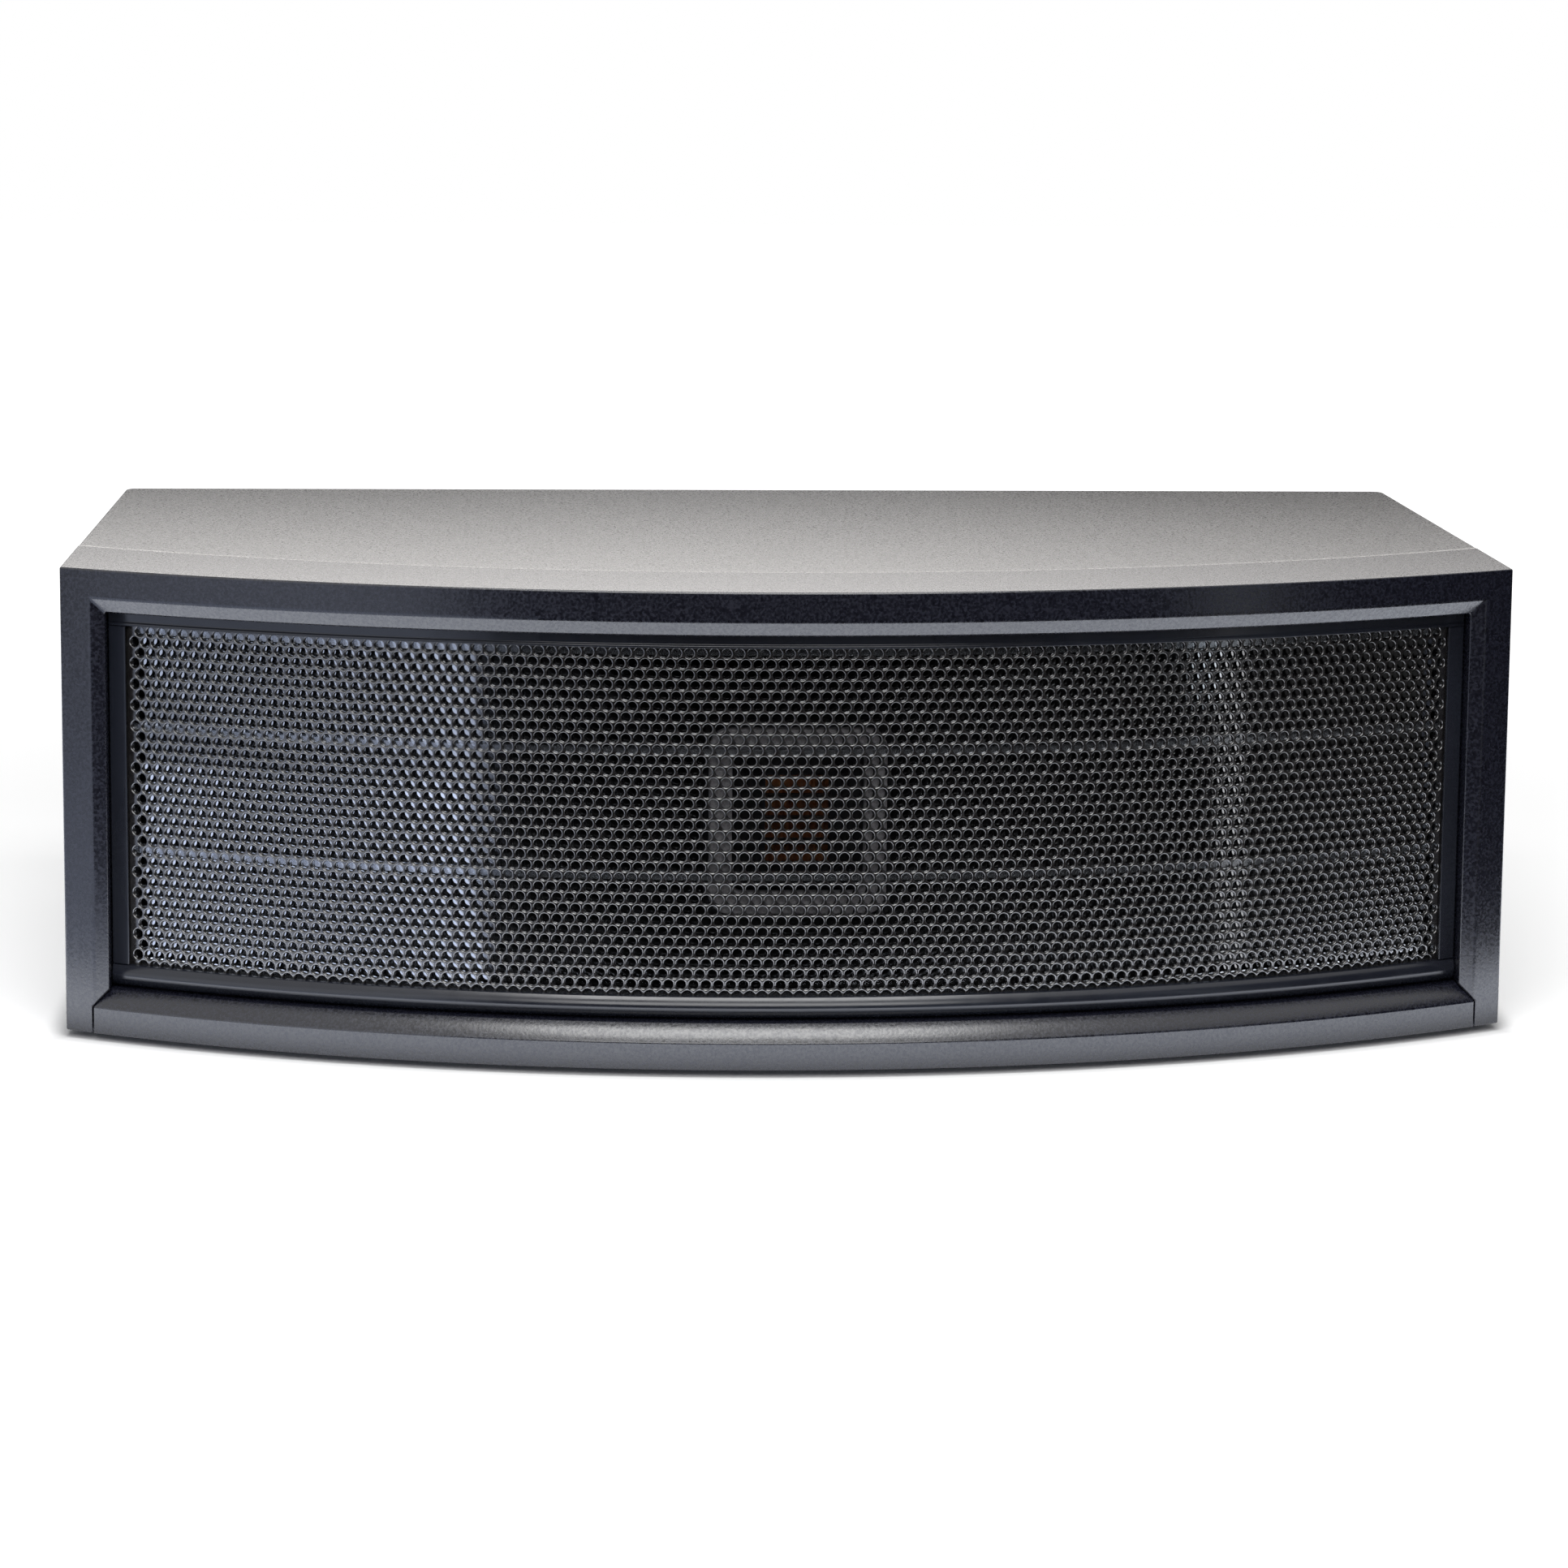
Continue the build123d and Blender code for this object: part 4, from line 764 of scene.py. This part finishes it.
def wrap_shell():
    """Closed bmesh of the wrap, with its inner walls."""
    outline = plan_outline()
    arc_count = len(front_xs)
    inner_xs = [x * INSIDE_HALF / HALF_WIDTH for x in front_xs]
    hollow = [(x, arc_y(BOARD_RADIUS, x)) for x in inner_xs]
    hollow += [(INSIDE_HALF, BACK_Y), (-INSIDE_HALF, BACK_Y)]
    bm = bmesh.new()
    upper = [bm.verts.new((x, y, TOP)) for x, y in outline]
    lower = [bm.verts.new((x, y, BASE)) for x, y in outline]
    ceiling = [bm.verts.new((x, y, TOP - BOARD)) for x, y in hollow]
    floor = [bm.verts.new((x, y, BASE + BOARD)) for x, y in hollow]
    bm.faces.new(upper)
    bm.faces.new(lower[::-1])
    bm.faces.new(ceiling)
    bm.faces.new(floor[::-1])
    last = arc_count - 1
    rear_right = arc_count + CORNER_STEPS
    rear_left = rear_right + 1
    for i in range(last, len(outline)):
        j = (i + 1) % len(outline)
        if i != rear_right:
            bm.faces.new((upper[i], upper[j], lower[j], lower[i]))
    for i in range(last):
        bm.faces.new((upper[i], upper[i + 1], ceiling[i + 1], ceiling[i]))
        bm.faces.new((lower[i], lower[i + 1], floor[i + 1], floor[i]))
    bm.faces.new((upper[0], lower[0], floor[0], ceiling[0]))
    bm.faces.new((upper[last], lower[last], floor[last], ceiling[last]))
    in_right, in_left = arc_count, arc_count + 1
    bm.faces.new((ceiling[last], ceiling[in_right], floor[in_right], floor[last]))
    bm.faces.new((ceiling[0], ceiling[in_left], floor[in_left], floor[0]))
    bm.faces.new((upper[rear_right], upper[rear_left], ceiling[in_left], ceiling[in_right]))
    bm.faces.new((lower[rear_right], lower[rear_left], floor[in_left], floor[in_right]))
    bm.faces.new((upper[rear_right], lower[rear_right], floor[in_right], ceiling[in_right]))
    bm.faces.new((upper[rear_left], lower[rear_left], floor[in_left], ceiling[in_left]))
    return bm


wrap = bmesh_piece("cabinet_wrap", wrap_shell(), cabinet_paint.material)
soften(wrap, width=1.2)
dress(
    wrap,
    "cabinet",
    "board_paint",
    "cabinet_top",
    "cabinet_bottom",
    "cabinet_left_side",
    "cabinet_right_side",
)

# Rear hardware, seen from behind
TURNED_SEGMENTS = 40


def turned_piece(name, profile, centres, material, axis="y", segments=TURNED_SEGMENTS):
    """Piece turned from a profile of (radius, height) points; heights run along the axis."""
    bm = bmesh.new()
    for x, y, z in centres:
        rings = []
        for radius, height in profile:
            ring = []
            for k in range(segments if radius > 0 else 1):
                across = radius * cos(2 * pi * k / segments)
                up = radius * sin(2 * pi * k / segments)
                spot = (x + across, y + height, z + up) if axis == "y" else (x + across, y + up, z + height)
                ring.append(bm.verts.new(spot))
            rings.append(ring)
        pairs = list(zip(rings, rings[1:]))
        if profile[0][0] > 0:
            pairs.append((rings[-1], rings[0]))
        for one, two in pairs:
            for k in range(segments):
                n = (k + 1) % segments
                corners = [one[k % len(one)], one[n % len(one)], two[n % len(two)], two[k % len(two)]]
                corners = list(dict.fromkeys(corners))
                if len(corners) > 2:
                    bm.faces.new(corners)
    return bmesh_piece(name, bm, material)


# Rear board, let in between the cabinet boards, open behind the terminal plate
REAR_FIT = 0.2
PLATE_WIDTH, PLATE_HEIGHT, PLATE_CORNER, PLATE_FLANGE = 120.0, 70.0, 8.0, 12.0


def framed(outer, opening, y_from, y_to):
    """Closed bmesh of a board with a rectangular opening; both are (x0, z0, x1, z1)."""
    bm = bmesh.new()
    loops = []
    for x0, z0, x1, z1 in (outer, opening):
        for y in (y_from, y_to):
            loops.append([bm.verts.new((x, y, z)) for x, z in ((x0, z0), (x1, z0), (x1, z1), (x0, z1))])
    out_front, out_back, in_front, in_back = loops
    for one, two in ((out_front, in_front), (out_back, in_back), (out_front, out_back), (in_front, in_back)):
        join_rings(bm, one, two)
    return bm


inside = INSIDE_HALF - REAR_FIT
panel_box = (-inside, BASE + BOARD + REAR_FIT, inside, TOP - BOARD - REAR_FIT)
half_cut = PLATE_WIDTH / 2 - PLATE_FLANGE
cut_rise = PLATE_HEIGHT / 2 - PLATE_FLANGE
cut_box = (-half_cut, MIDDLE - cut_rise, half_cut, MIDDLE + cut_rise)
board_mesh = framed(panel_box, cut_box, BACK_Y - BOARD, BACK_Y)
rear_board = bmesh_piece("rear_board", board_mesh, cabinet_paint.material)
soften(rear_board, width=0.8)
dress(rear_board, "cabinet", "board_paint", "rear_panel")

# Terminal plate: rounded corners, a soft edge and a shallow moulded field
PLATE_STEPS = 8
PLATE_BORDER = 3.0
FIELD_SLOPE = 0.6
FIELD_DEPTH = 0.35
FIELD_Y = PLATE_Y - FIELD_DEPTH
plate_levels = [(0.0, BACK_Y), (0.0, PLATE_Y), (PLATE_BORDER, PLATE_Y), (PLATE_BORDER + FIELD_SLOPE, FIELD_Y)]
bm = bmesh.new()
rings = []
for inset, y in plate_levels:
    half_width, half_height = PLATE_WIDTH / 2 - inset, PLATE_HEIGHT / 2 - inset
    outline = rounded_outline(half_width, half_height, PLATE_CORNER - inset, y, PLATE_STEPS)
    rings.append([bm.verts.new(point) for point in outline])
for one, two in zip(rings, rings[1:]):
    join_rings(bm, one, two)
bm.faces.new(rings[0][::-1])
bm.faces.new(rings[-1])
plate = bmesh_piece("terminal_panel", bm, black_plastic.material)
soften(plate, width=0.6, angle=25)
dress(plate, "cabinet", "black_plastic", "terminal_plate")

# Screws: domed heads with a cross recess, and a plain shank
HEAD_PROFILE = ((3.6, 0.0), (3.55, 0.55), (3.2, 1.15), (2.6, 1.6))
HEAD_CROWN = 1.8
RECESS_HALF, RECESS_REACH, RECESS_DEPTH = 0.5, 1.9, 1.2
PIT_HALF, PIT_REACH = RECESS_HALF * 0.6, RECESS_REACH * 0.75
SHANK_RADIUS = 2.0
SCREW_SEGMENTS = 24
CROSS_CORNERS = 12


def cross_outline(half, reach):
    """Twelve corners of a cross, in order round it."""
    corners = []
    for quarter in range(4):
        turn = Matrix.Rotation(pi / 2 * quarter, 2)
        for corner in ((reach, -half), (reach, half), (half, half)):
            corners.append(turn @ Vector(corner))
    return corners


def screw(bm, x, y, z, length):
    """Add one screw whose head stands on a face at this Y, pointing back."""

    def ring(radius, height):
        steps = [2 * pi * k / SCREW_SEGMENTS for k in range(SCREW_SEGMENTS)]
        return [bm.verts.new((x + radius * cos(a), y + height, z + radius * sin(a))) for a in steps]

    def cross(half, reach, height):
        return [bm.verts.new((x + p.x, y + height, z + p.y)) for p in cross_outline(half, reach)]

    tip = ring(SHANK_RADIUS, -length)
    rings = [tip, ring(SHANK_RADIUS, 0.0)] + [ring(radius, height) for radius, height in HEAD_PROFILE]
    for one, two in zip(rings, rings[1:]):
        join_rings(bm, one, two)
    bm.faces.new(tip[::-1])
    top = rings[-1]
    rim = cross(RECESS_HALF, RECESS_REACH, HEAD_CROWN)
    pit = cross(PIT_HALF, PIT_REACH, HEAD_CROWN - RECESS_DEPTH)
    # Corner k of the cross meets the top ring at an even share of the circle
    share = SCREW_SEGMENTS // CROSS_CORNERS
    start = SCREW_SEGMENTS - 1
    for k in range(CROSS_CORNERS):
        n = (k + 1) % CROSS_CORNERS
        arc = [top[(start + share * k + step) % SCREW_SEGMENTS] for step in range(share + 1)]
        bm.faces.new(arc + [rim[n], rim[k]])
    join_rings(bm, rim, pit)
    bm.faces.new(pit)


SCREW_XS = (-225, -75, 75, 225)
SCREW_INSET = BOARD + 6
PLATE_SCREW_X, PLATE_SCREW_RISE = 54, 29
rear_screws = [(x, BACK_Y, z) for x in SCREW_XS for z in (BASE + SCREW_INSET, TOP - SCREW_INSET)]
plate_screws = []
for x in (-PLATE_SCREW_X, PLATE_SCREW_X):
    for rise in (-PLATE_SCREW_RISE, PLATE_SCREW_RISE):
        plate_screws.append((x, FIELD_Y, MIDDLE + rise))
for name, places, length, node in (
    ("rear_screw_heads", rear_screws, 20.0, "rear_panel_screws"),
    ("plate_screw_heads", plate_screws, 9.0, "terminal_screws"),
):
    bm = bmesh.new()
    for place in places:
        screw(bm, *place, length)
    heads = bmesh_piece(name, bm, screw_black.material)
    soften(heads, width=0.12, segments=2, angle=35)
    dress(heads, "cabinet", "screw_black", node)

# Binding posts on their insulators
POST_X = {"positive": -9.525, "negative": 9.525}
post_places = [(x, PLATE_Y, MIDDLE) for x in POST_X.values()]
COLLAR_PROFILE = [(3.1, -FIELD_DEPTH), (7.0, -FIELD_DEPTH), (7.0, 4.0), (3.1, 4.0)]
insulators = turned_piece("post_collars", COLLAR_PROFILE, post_places, black_plastic.material)
soften(insulators, width=0.5)
dress(insulators, "cabinet", "black_plastic", "post_insulators")
POST_PROFILE = [(0.0, -14.0), (3.0, -14.0), (3.0, 4.0), (5.5, 4.0), (5.5, 5.5), (3.0, 5.5)]
POST_PROFILE += [(3.0, 20.8), (2.0, 20.8), (2.0, 4.8), (0.0, 4.8)]
for pole, x in POST_X.items():
    post = turned_piece(f"{pole}_post", POST_PROFILE, [(x, PLATE_Y, MIDDLE)], brass.material)
    soften(post, width=0.25)
    dress(post, "cabinet", "gold_brass", f"{pole}_binding_post")

# Turning caps: twelve soft grooves for the fingers and a dished end
CAP_RADIUS, CAP_BORE, CAP_START = 7.5, 3.3, 5.8
GROOVES, GROOVE_WIDTH, GROOVE_DEPTH = 12, 1.3, 0.9
# Shares of the groove's half width and depth across one groove
GROOVE_SHAPE = ((-1.5, 0.0), (-1.0, 0.35), (-0.6, 1.0), (0.6, 1.0), (1.0, 0.35), (1.5, 0.0))
cap_edge = []
for groove in range(GROOVES):
    middle = 2 * pi * groove / GROOVES
    half = GROOVE_WIDTH / 2 / CAP_RADIUS
    for shift, dip in GROOVE_SHAPE:
        cap_edge.append((middle + shift * half, dip * GROOVE_DEPTH))
    cap_edge.append((middle + pi / GROOVES, 0.0))
# Each level is a height, an inset from the outer edge, or a plain radius inside the ends
CAP_LEVELS = ((0.0, 0.7, None), (0.7, 0.0, None), (15.0, 0.0, None), (15.7, 0.3, None), (16.0, 1.0, None))
CAP_LEVELS += ((16.0, None, 5.6), (15.5, None, 5.2), (15.5, None, CAP_BORE), (0.0, None, CAP_BORE))
for pole, finish in (("positive", cap_red), ("negative", cap_black)):
    bm = bmesh.new()
    rings = []
    for height, inset, radius in CAP_LEVELS:
        ring = []
        for angle, dip in cap_edge:
            reach = radius or CAP_RADIUS - inset - dip
            x = POST_X[pole] + reach * cos(angle)
            z = MIDDLE + reach * sin(angle)
            ring.append(bm.verts.new((x, PLATE_Y + CAP_START + height, z)))
        rings.append(ring)
    for one, two in zip(rings, rings[1:] + rings[:1]):
        join_rings(bm, one, two)
    cap = bmesh_piece(f"{pole}_cap_grip", bm, finish.material)
    soften(cap, width=0.15, segments=2, angle=50)
    dress(cap, f"{pole}_cap", finish.name, f"{pole}_binding_cap")

# Power inlet: moulded shell with a bright pin
INLET_X = 38.0
inlet_place = [(INLET_X, PLATE_Y, MIDDLE)]
INLET_PROFILE = [(0.0, -15.0), (5.5, -15.0), (5.5, -FIELD_DEPTH), (7.5, -FIELD_DEPTH), (7.5, 2.0), (3.1, 2.0)]
INLET_PROFILE += [(3.1, -8.0), (0.0, -8.0)]
inlet = turned_piece("inlet_shell", INLET_PROFILE, inlet_place, black_plastic.material)
soften(inlet, width=0.4)
dress(inlet, "cabinet", "black_plastic", "power_inlet")
PIN_PROFILE = [(0.0, -8.0), (1.05, -8.0), (1.05, -0.4), (0.6, 0.0), (0.0, 0.0)]
pin = turned_piece("inlet_pin", PIN_PROFILE, inlet_place, brass.material, segments=20)
dress(pin, "cabinet", "gold_brass", "power_inlet")

# Feet: rubber pads with a rounded tread
FOOT_PLACES = [(x, y, 0.0) for x in (-240, 240) for y in (-45.8, 127.6)]
FOOT_PROFILE = [(0.0, 0.25), (5.0, 0.25), (5.4, 0.0), (8.8, 0.0), (9.6, 0.35), (10.0, 1.1)]
FOOT_PROFILE += [(10.0, BASE), (0.0, BASE)]
feet = turned_piece("rubber_pads", FOOT_PROFILE, FOOT_PLACES, rubber.material, axis="z")
soften(feet, width=0.2, segments=2)
dress(feet, "cabinet", "black_rubber", "rubber_feet")

# Studio, in metres: white surround, pale floor, soft lamps
AMBIENT = 0.24
FLOOR_SIZE = 12.0
FLOOR_CELLS = 8
FLOOR_TONES = ((0.86, 0.86, 0.86, 1.0), (0.90, 0.90, 0.90, 1.0))


def seen_directly(tree):
    """One for rays that show the surround itself: from the camera, a reflection or through glass."""
    path = add_node(tree, "LightPath", {}).outputs
    seen = calculate(tree, "ADD", path["Is Camera Ray"], path["Is Glossy Ray"])
    return calculate(tree, "ADD", seen, path["Is Transmission Ray"], use_clamp=True)


world = bpy.data.worlds.new("surround")
bpy.context.scene.world = world
world.use_nodes = True
tree = world.node_tree
background = tree.nodes["Background"]
background.inputs["Color"].default_value = (*WHITE, 1.0)
strength = ranged(tree, seen_directly(tree), 0.0, 1.0, low=AMBIENT, high=1.0)
tree.links.new(strength, background.inputs["Strength"])

pale = bpy.data.materials.new("pale_floor")
pale.use_nodes = True
tree = pale.node_tree
shader = tree.nodes["Principled BSDF"]
shader.inputs["Roughness"].default_value = 0.9
shader.inputs["Specular IOR Level"].default_value = 0.0
texture = add_node(tree, "TexNoise", {"Scale": 3.0})
tones = add_node(tree, "ValToRGB", {"Fac": texture.outputs["Fac"]})
for element, tone in zip(tones.color_ramp.elements, FLOOR_TONES):
    element.color = tone
tree.links.new(tones.outputs["Color"], shader.inputs["Base Color"])

# The floor gets too little of the lamps to look white, so it glows a little: for the camera more with
# distance, so that the shadow stays, and for reflections most in a band along the front
GLOW_FROM, GLOW_TO = 0.40, 1.40
GLOW_LOW, GLOW_HIGH = 0.45, 0.98
CONTACT = 0.012
SHEEN_FROM, SHEEN_TO = 0.60, 1.00
SHEEN_LEVELS = ((0.0, 0.10), (0.07, 0.13), (0.145, 1.0), (0.27, 0.95), (0.33, 0.5), (0.8, 0.0))
FLOOR_SHEEN = 2.8
SHEEN_COLOUR = (0.88, 0.94, 1.08, 1.0)
place = add_node(tree, "TexCoord", {}).outputs["Object"]
away = add_node(tree, "VectorMath", {0: place}, operation="LENGTH").outputs["Value"]
glow = ranged(tree, away, GLOW_FROM, GLOW_TO, GLOW_LOW, GLOW_HIGH, kind="SMOOTHSTEP")
axis_distance = from_axis(tree, place)
parts = add_node(tree, "SeparateXYZ", {"Vector": place}).outputs
# How far a spot on the floor is outside the object's outline
beyond_front = calculate(tree, "SUBTRACT", axis_distance, FRONT_RADIUS * MM)
beyond_back = calculate(tree, "SUBTRACT", parts["Y"], BACK_Y * MM)
sideways = add_node(tree, "Math", {0: parts["X"]}, operation="ABSOLUTE").outputs[0]
beyond_side = calculate(tree, "SUBTRACT", sideways, HALF_WIDTH * MM)
outside = calculate(tree, "MAXIMUM", calculate(tree, "MAXIMUM", beyond_front, beyond_back), beyond_side)
clear_of = ranged(tree, outside, 0.0, CONTACT, kind="SMOOTHSTEP")
shown = calculate(tree, "MULTIPLY", calculate(tree, "MULTIPLY", glow, seen_directly(tree)), clear_of)
along_front = ranged(tree, axis_distance, SHEEN_FROM, SHEEN_TO)
fade = add_node(tree, "ValToRGB", {"Fac": along_front})
for number, (position, level) in enumerate(SHEEN_LEVELS):
    stops = fade.color_ramp.elements
    stop = stops[number] if number < len(stops) else stops.new(position)
    stop.position = position
    stop.color = (level, level, level, 1.0)
sheen = calculate(tree, "MULTIPLY", fade.outputs["Color"], FLOOR_SHEEN)
glossy = add_node(tree, "LightPath", {}).outputs["Is Glossy Ray"]
mirrored = add_node(tree, "Mix", {"Factor": glossy, "A": shown, "B": sheen}, data_type="FLOAT")
tint = add_node(tree, "Mix", {"Factor": glossy, "A": (*WHITE, 1.0), "B": SHEEN_COLOUR}, data_type="RGBA")
tree.links.new(tint.outputs["Result"], shader.inputs["Emission Color"])
tree.links.new(mirrored.outputs["Result"], shader.inputs["Emission Strength"])
bm = bmesh.new()
bmesh.ops.create_grid(bm, x_segments=FLOOR_CELLS, y_segments=FLOOR_CELLS, size=FLOOR_SIZE / 2)
floor_mesh = bpy.data.meshes.new("floor")
bm.to_mesh(floor_mesh)
bm.free()
floor_mesh.materials.append(pale)
floor = link(bpy.data.objects.new("floor", floor_mesh))


def softbox(name, place, target, width, height, radiance, colour=WHITE):
    """Rectangular lamp aimed at a point; its face has this radiance."""
    lamp = bpy.data.lights.new(name, "AREA")
    lamp.shape = "RECTANGLE"
    lamp.size = width
    lamp.size_y = height
    lamp.energy = radiance * pi * width * height
    lamp.color = colour
    obj = link(bpy.data.objects.new(name, lamp))
    obj.location = place
    obj.rotation_euler = (Vector(target) - Vector(place)).to_track_quat("-Z", "Y").to_euler()
    obj.visible_camera = False


NEAR_GLOW = 1.3
FAR_GLOW = 0.45
LEFT_COLOUR = (0.71, 0.79, 1.0)
RIGHT_COLOUR = (0.85, 0.93, 1.0)
softbox("overhead", (-0.02, -0.52, 1.20), (-0.02, -0.50, 0.0), width=0.74, height=0.52, radiance=8.0)
softbox("front_high", (-0.05, -1.50, 0.98), (0.0, -0.16, 0.10), width=1.1, height=0.75, radiance=5.4)
softbox("left_card", (-0.72, -0.60, 0.24), (-0.72, 0.0, 0.24), 0.78, 0.48, FAR_GLOW, LEFT_COLOUR)
softbox("right_strip", (0.54, -0.60, 0.27), (0.15, -0.16, 0.1), 0.045, 0.5, 1.0, RIGHT_COLOUR)


def card(name, low_row, high_row, glow, colour=WHITE):
    """Studio card between two rows of points; only reflections see it."""
    paper = bpy.data.materials.new(name)
    paper.use_nodes = True
    inputs = paper.node_tree.nodes["Principled BSDF"].inputs
    inputs["Base Color"].default_value = (0.0, 0.0, 0.0, 1.0)
    inputs["Roughness"].default_value = 1.0
    inputs["Specular IOR Level"].default_value = 0.0
    inputs["Emission Color"].default_value = (*colour, 1.0)
    inputs["Emission Strength"].default_value = glow
    points = []
    for low, high in zip(low_row, high_row):
        points += [low, high]
    faces = [(i, i + 2, i + 3, i + 1) for i in range(0, len(points) - 2, 2)]
    mesh = bpy.data.meshes.new(name)
    mesh.from_pydata(points, [], faces)
    mesh.materials.append(paper)
    obj = link(bpy.data.objects.new(name, mesh))
    obj.visible_camera = False
    obj.visible_diffuse = False
    obj.visible_shadow = False
    obj.visible_transmission = False
    return paper.node_tree


def round_front(radius, height, first, last, steps=24):
    """Row of points about the front's axis, between two angles in degrees."""
    row = []
    for step in range(steps + 1):
        angle = radians(first + (last - first) * step / steps)
        row.append((radius * sin(angle), AXIS_Y * MM - radius * cos(angle), height))
    return row


# Dark cloth in front of the object, with a bright left side and one pale stripe at the right
NEAR = 0.71
HALFWAY = 1.15
FAR = 2.2
LIFT = 0.002
WALL = 1.9
LEFT_END, RIGHT_END = -100.0, 100.0
FAR_SPLIT = -23.0
near_row = round_front(NEAR, LIFT, -75.0, -13.4)
halfway_row = round_front(HALFWAY, LIFT, -85.0, -17.0)
far_row = round_front(FAR, LIFT, LEFT_END, FAR_SPLIT)
card("blue_floor_near", near_row, halfway_row, NEAR_GLOW, LEFT_COLOUR)
card("blue_floor_far", halfway_row, far_row, FAR_GLOW, LEFT_COLOUR)
# Each has the angles of its near and far edges and a glow
for name, near_angles, far_angles, glow in (
    ("dark_floor_middle", (-13.4, 20.5), (FAR_SPLIT, 34.2), 0.0),
    ("grey_floor_stripe", (20.5, 22.0), (34.2, 36.5), 0.7),
    ("dark_floor_right", (22.0, 75.0), (36.5, RIGHT_END), 0.02),
):
    card(name, round_front(NEAR, LIFT, *near_angles), round_front(FAR, LIFT, *far_angles), glow)
wall_foot = round_front(FAR, LIFT, FAR_SPLIT, RIGHT_END)
card("dark_wall", wall_foot, round_front(FAR, WALL, FAR_SPLIT, RIGHT_END), 0.0)

# Grey paper behind and a pale screen before it, both darker to the right: the top mirrors them
FADE_FROM, FADE_TO = -0.1, 0.55
SCREEN_COLOUR = (1.0, 0.97, 0.945)


def backing_card(name, y, x_range, z_range, left_glow, right_glow, colour):
    """Upright card behind the cabinet, whose glow changes from left to right."""
    rows = [[(x, y, z) for x in x_range] for z in z_range]
    tree = card(name, rows[0], rows[1], left_glow, colour)
    place = add_node(tree, "TexCoord", {}).outputs["Object"]
    across = add_node(tree, "SeparateXYZ", {"Vector": place}).outputs["X"]
    shade = ranged(tree, across, FADE_FROM, FADE_TO, left_glow, right_glow, kind="SMOOTHSTEP")
    tree.links.new(shade, tree.nodes["Principled BSDF"].inputs["Emission Strength"])


backing_card("grey_backing", 0.95, (-1.6, 1.6), (LIFT, 1.3), left_glow=0.22, right_glow=0.04, colour=WHITE)
backing_card("pale_screen", 0.55, (-0.9, 0.65), (0.317, 0.75), 3.2, 2.2, SCREEN_COLOUR)
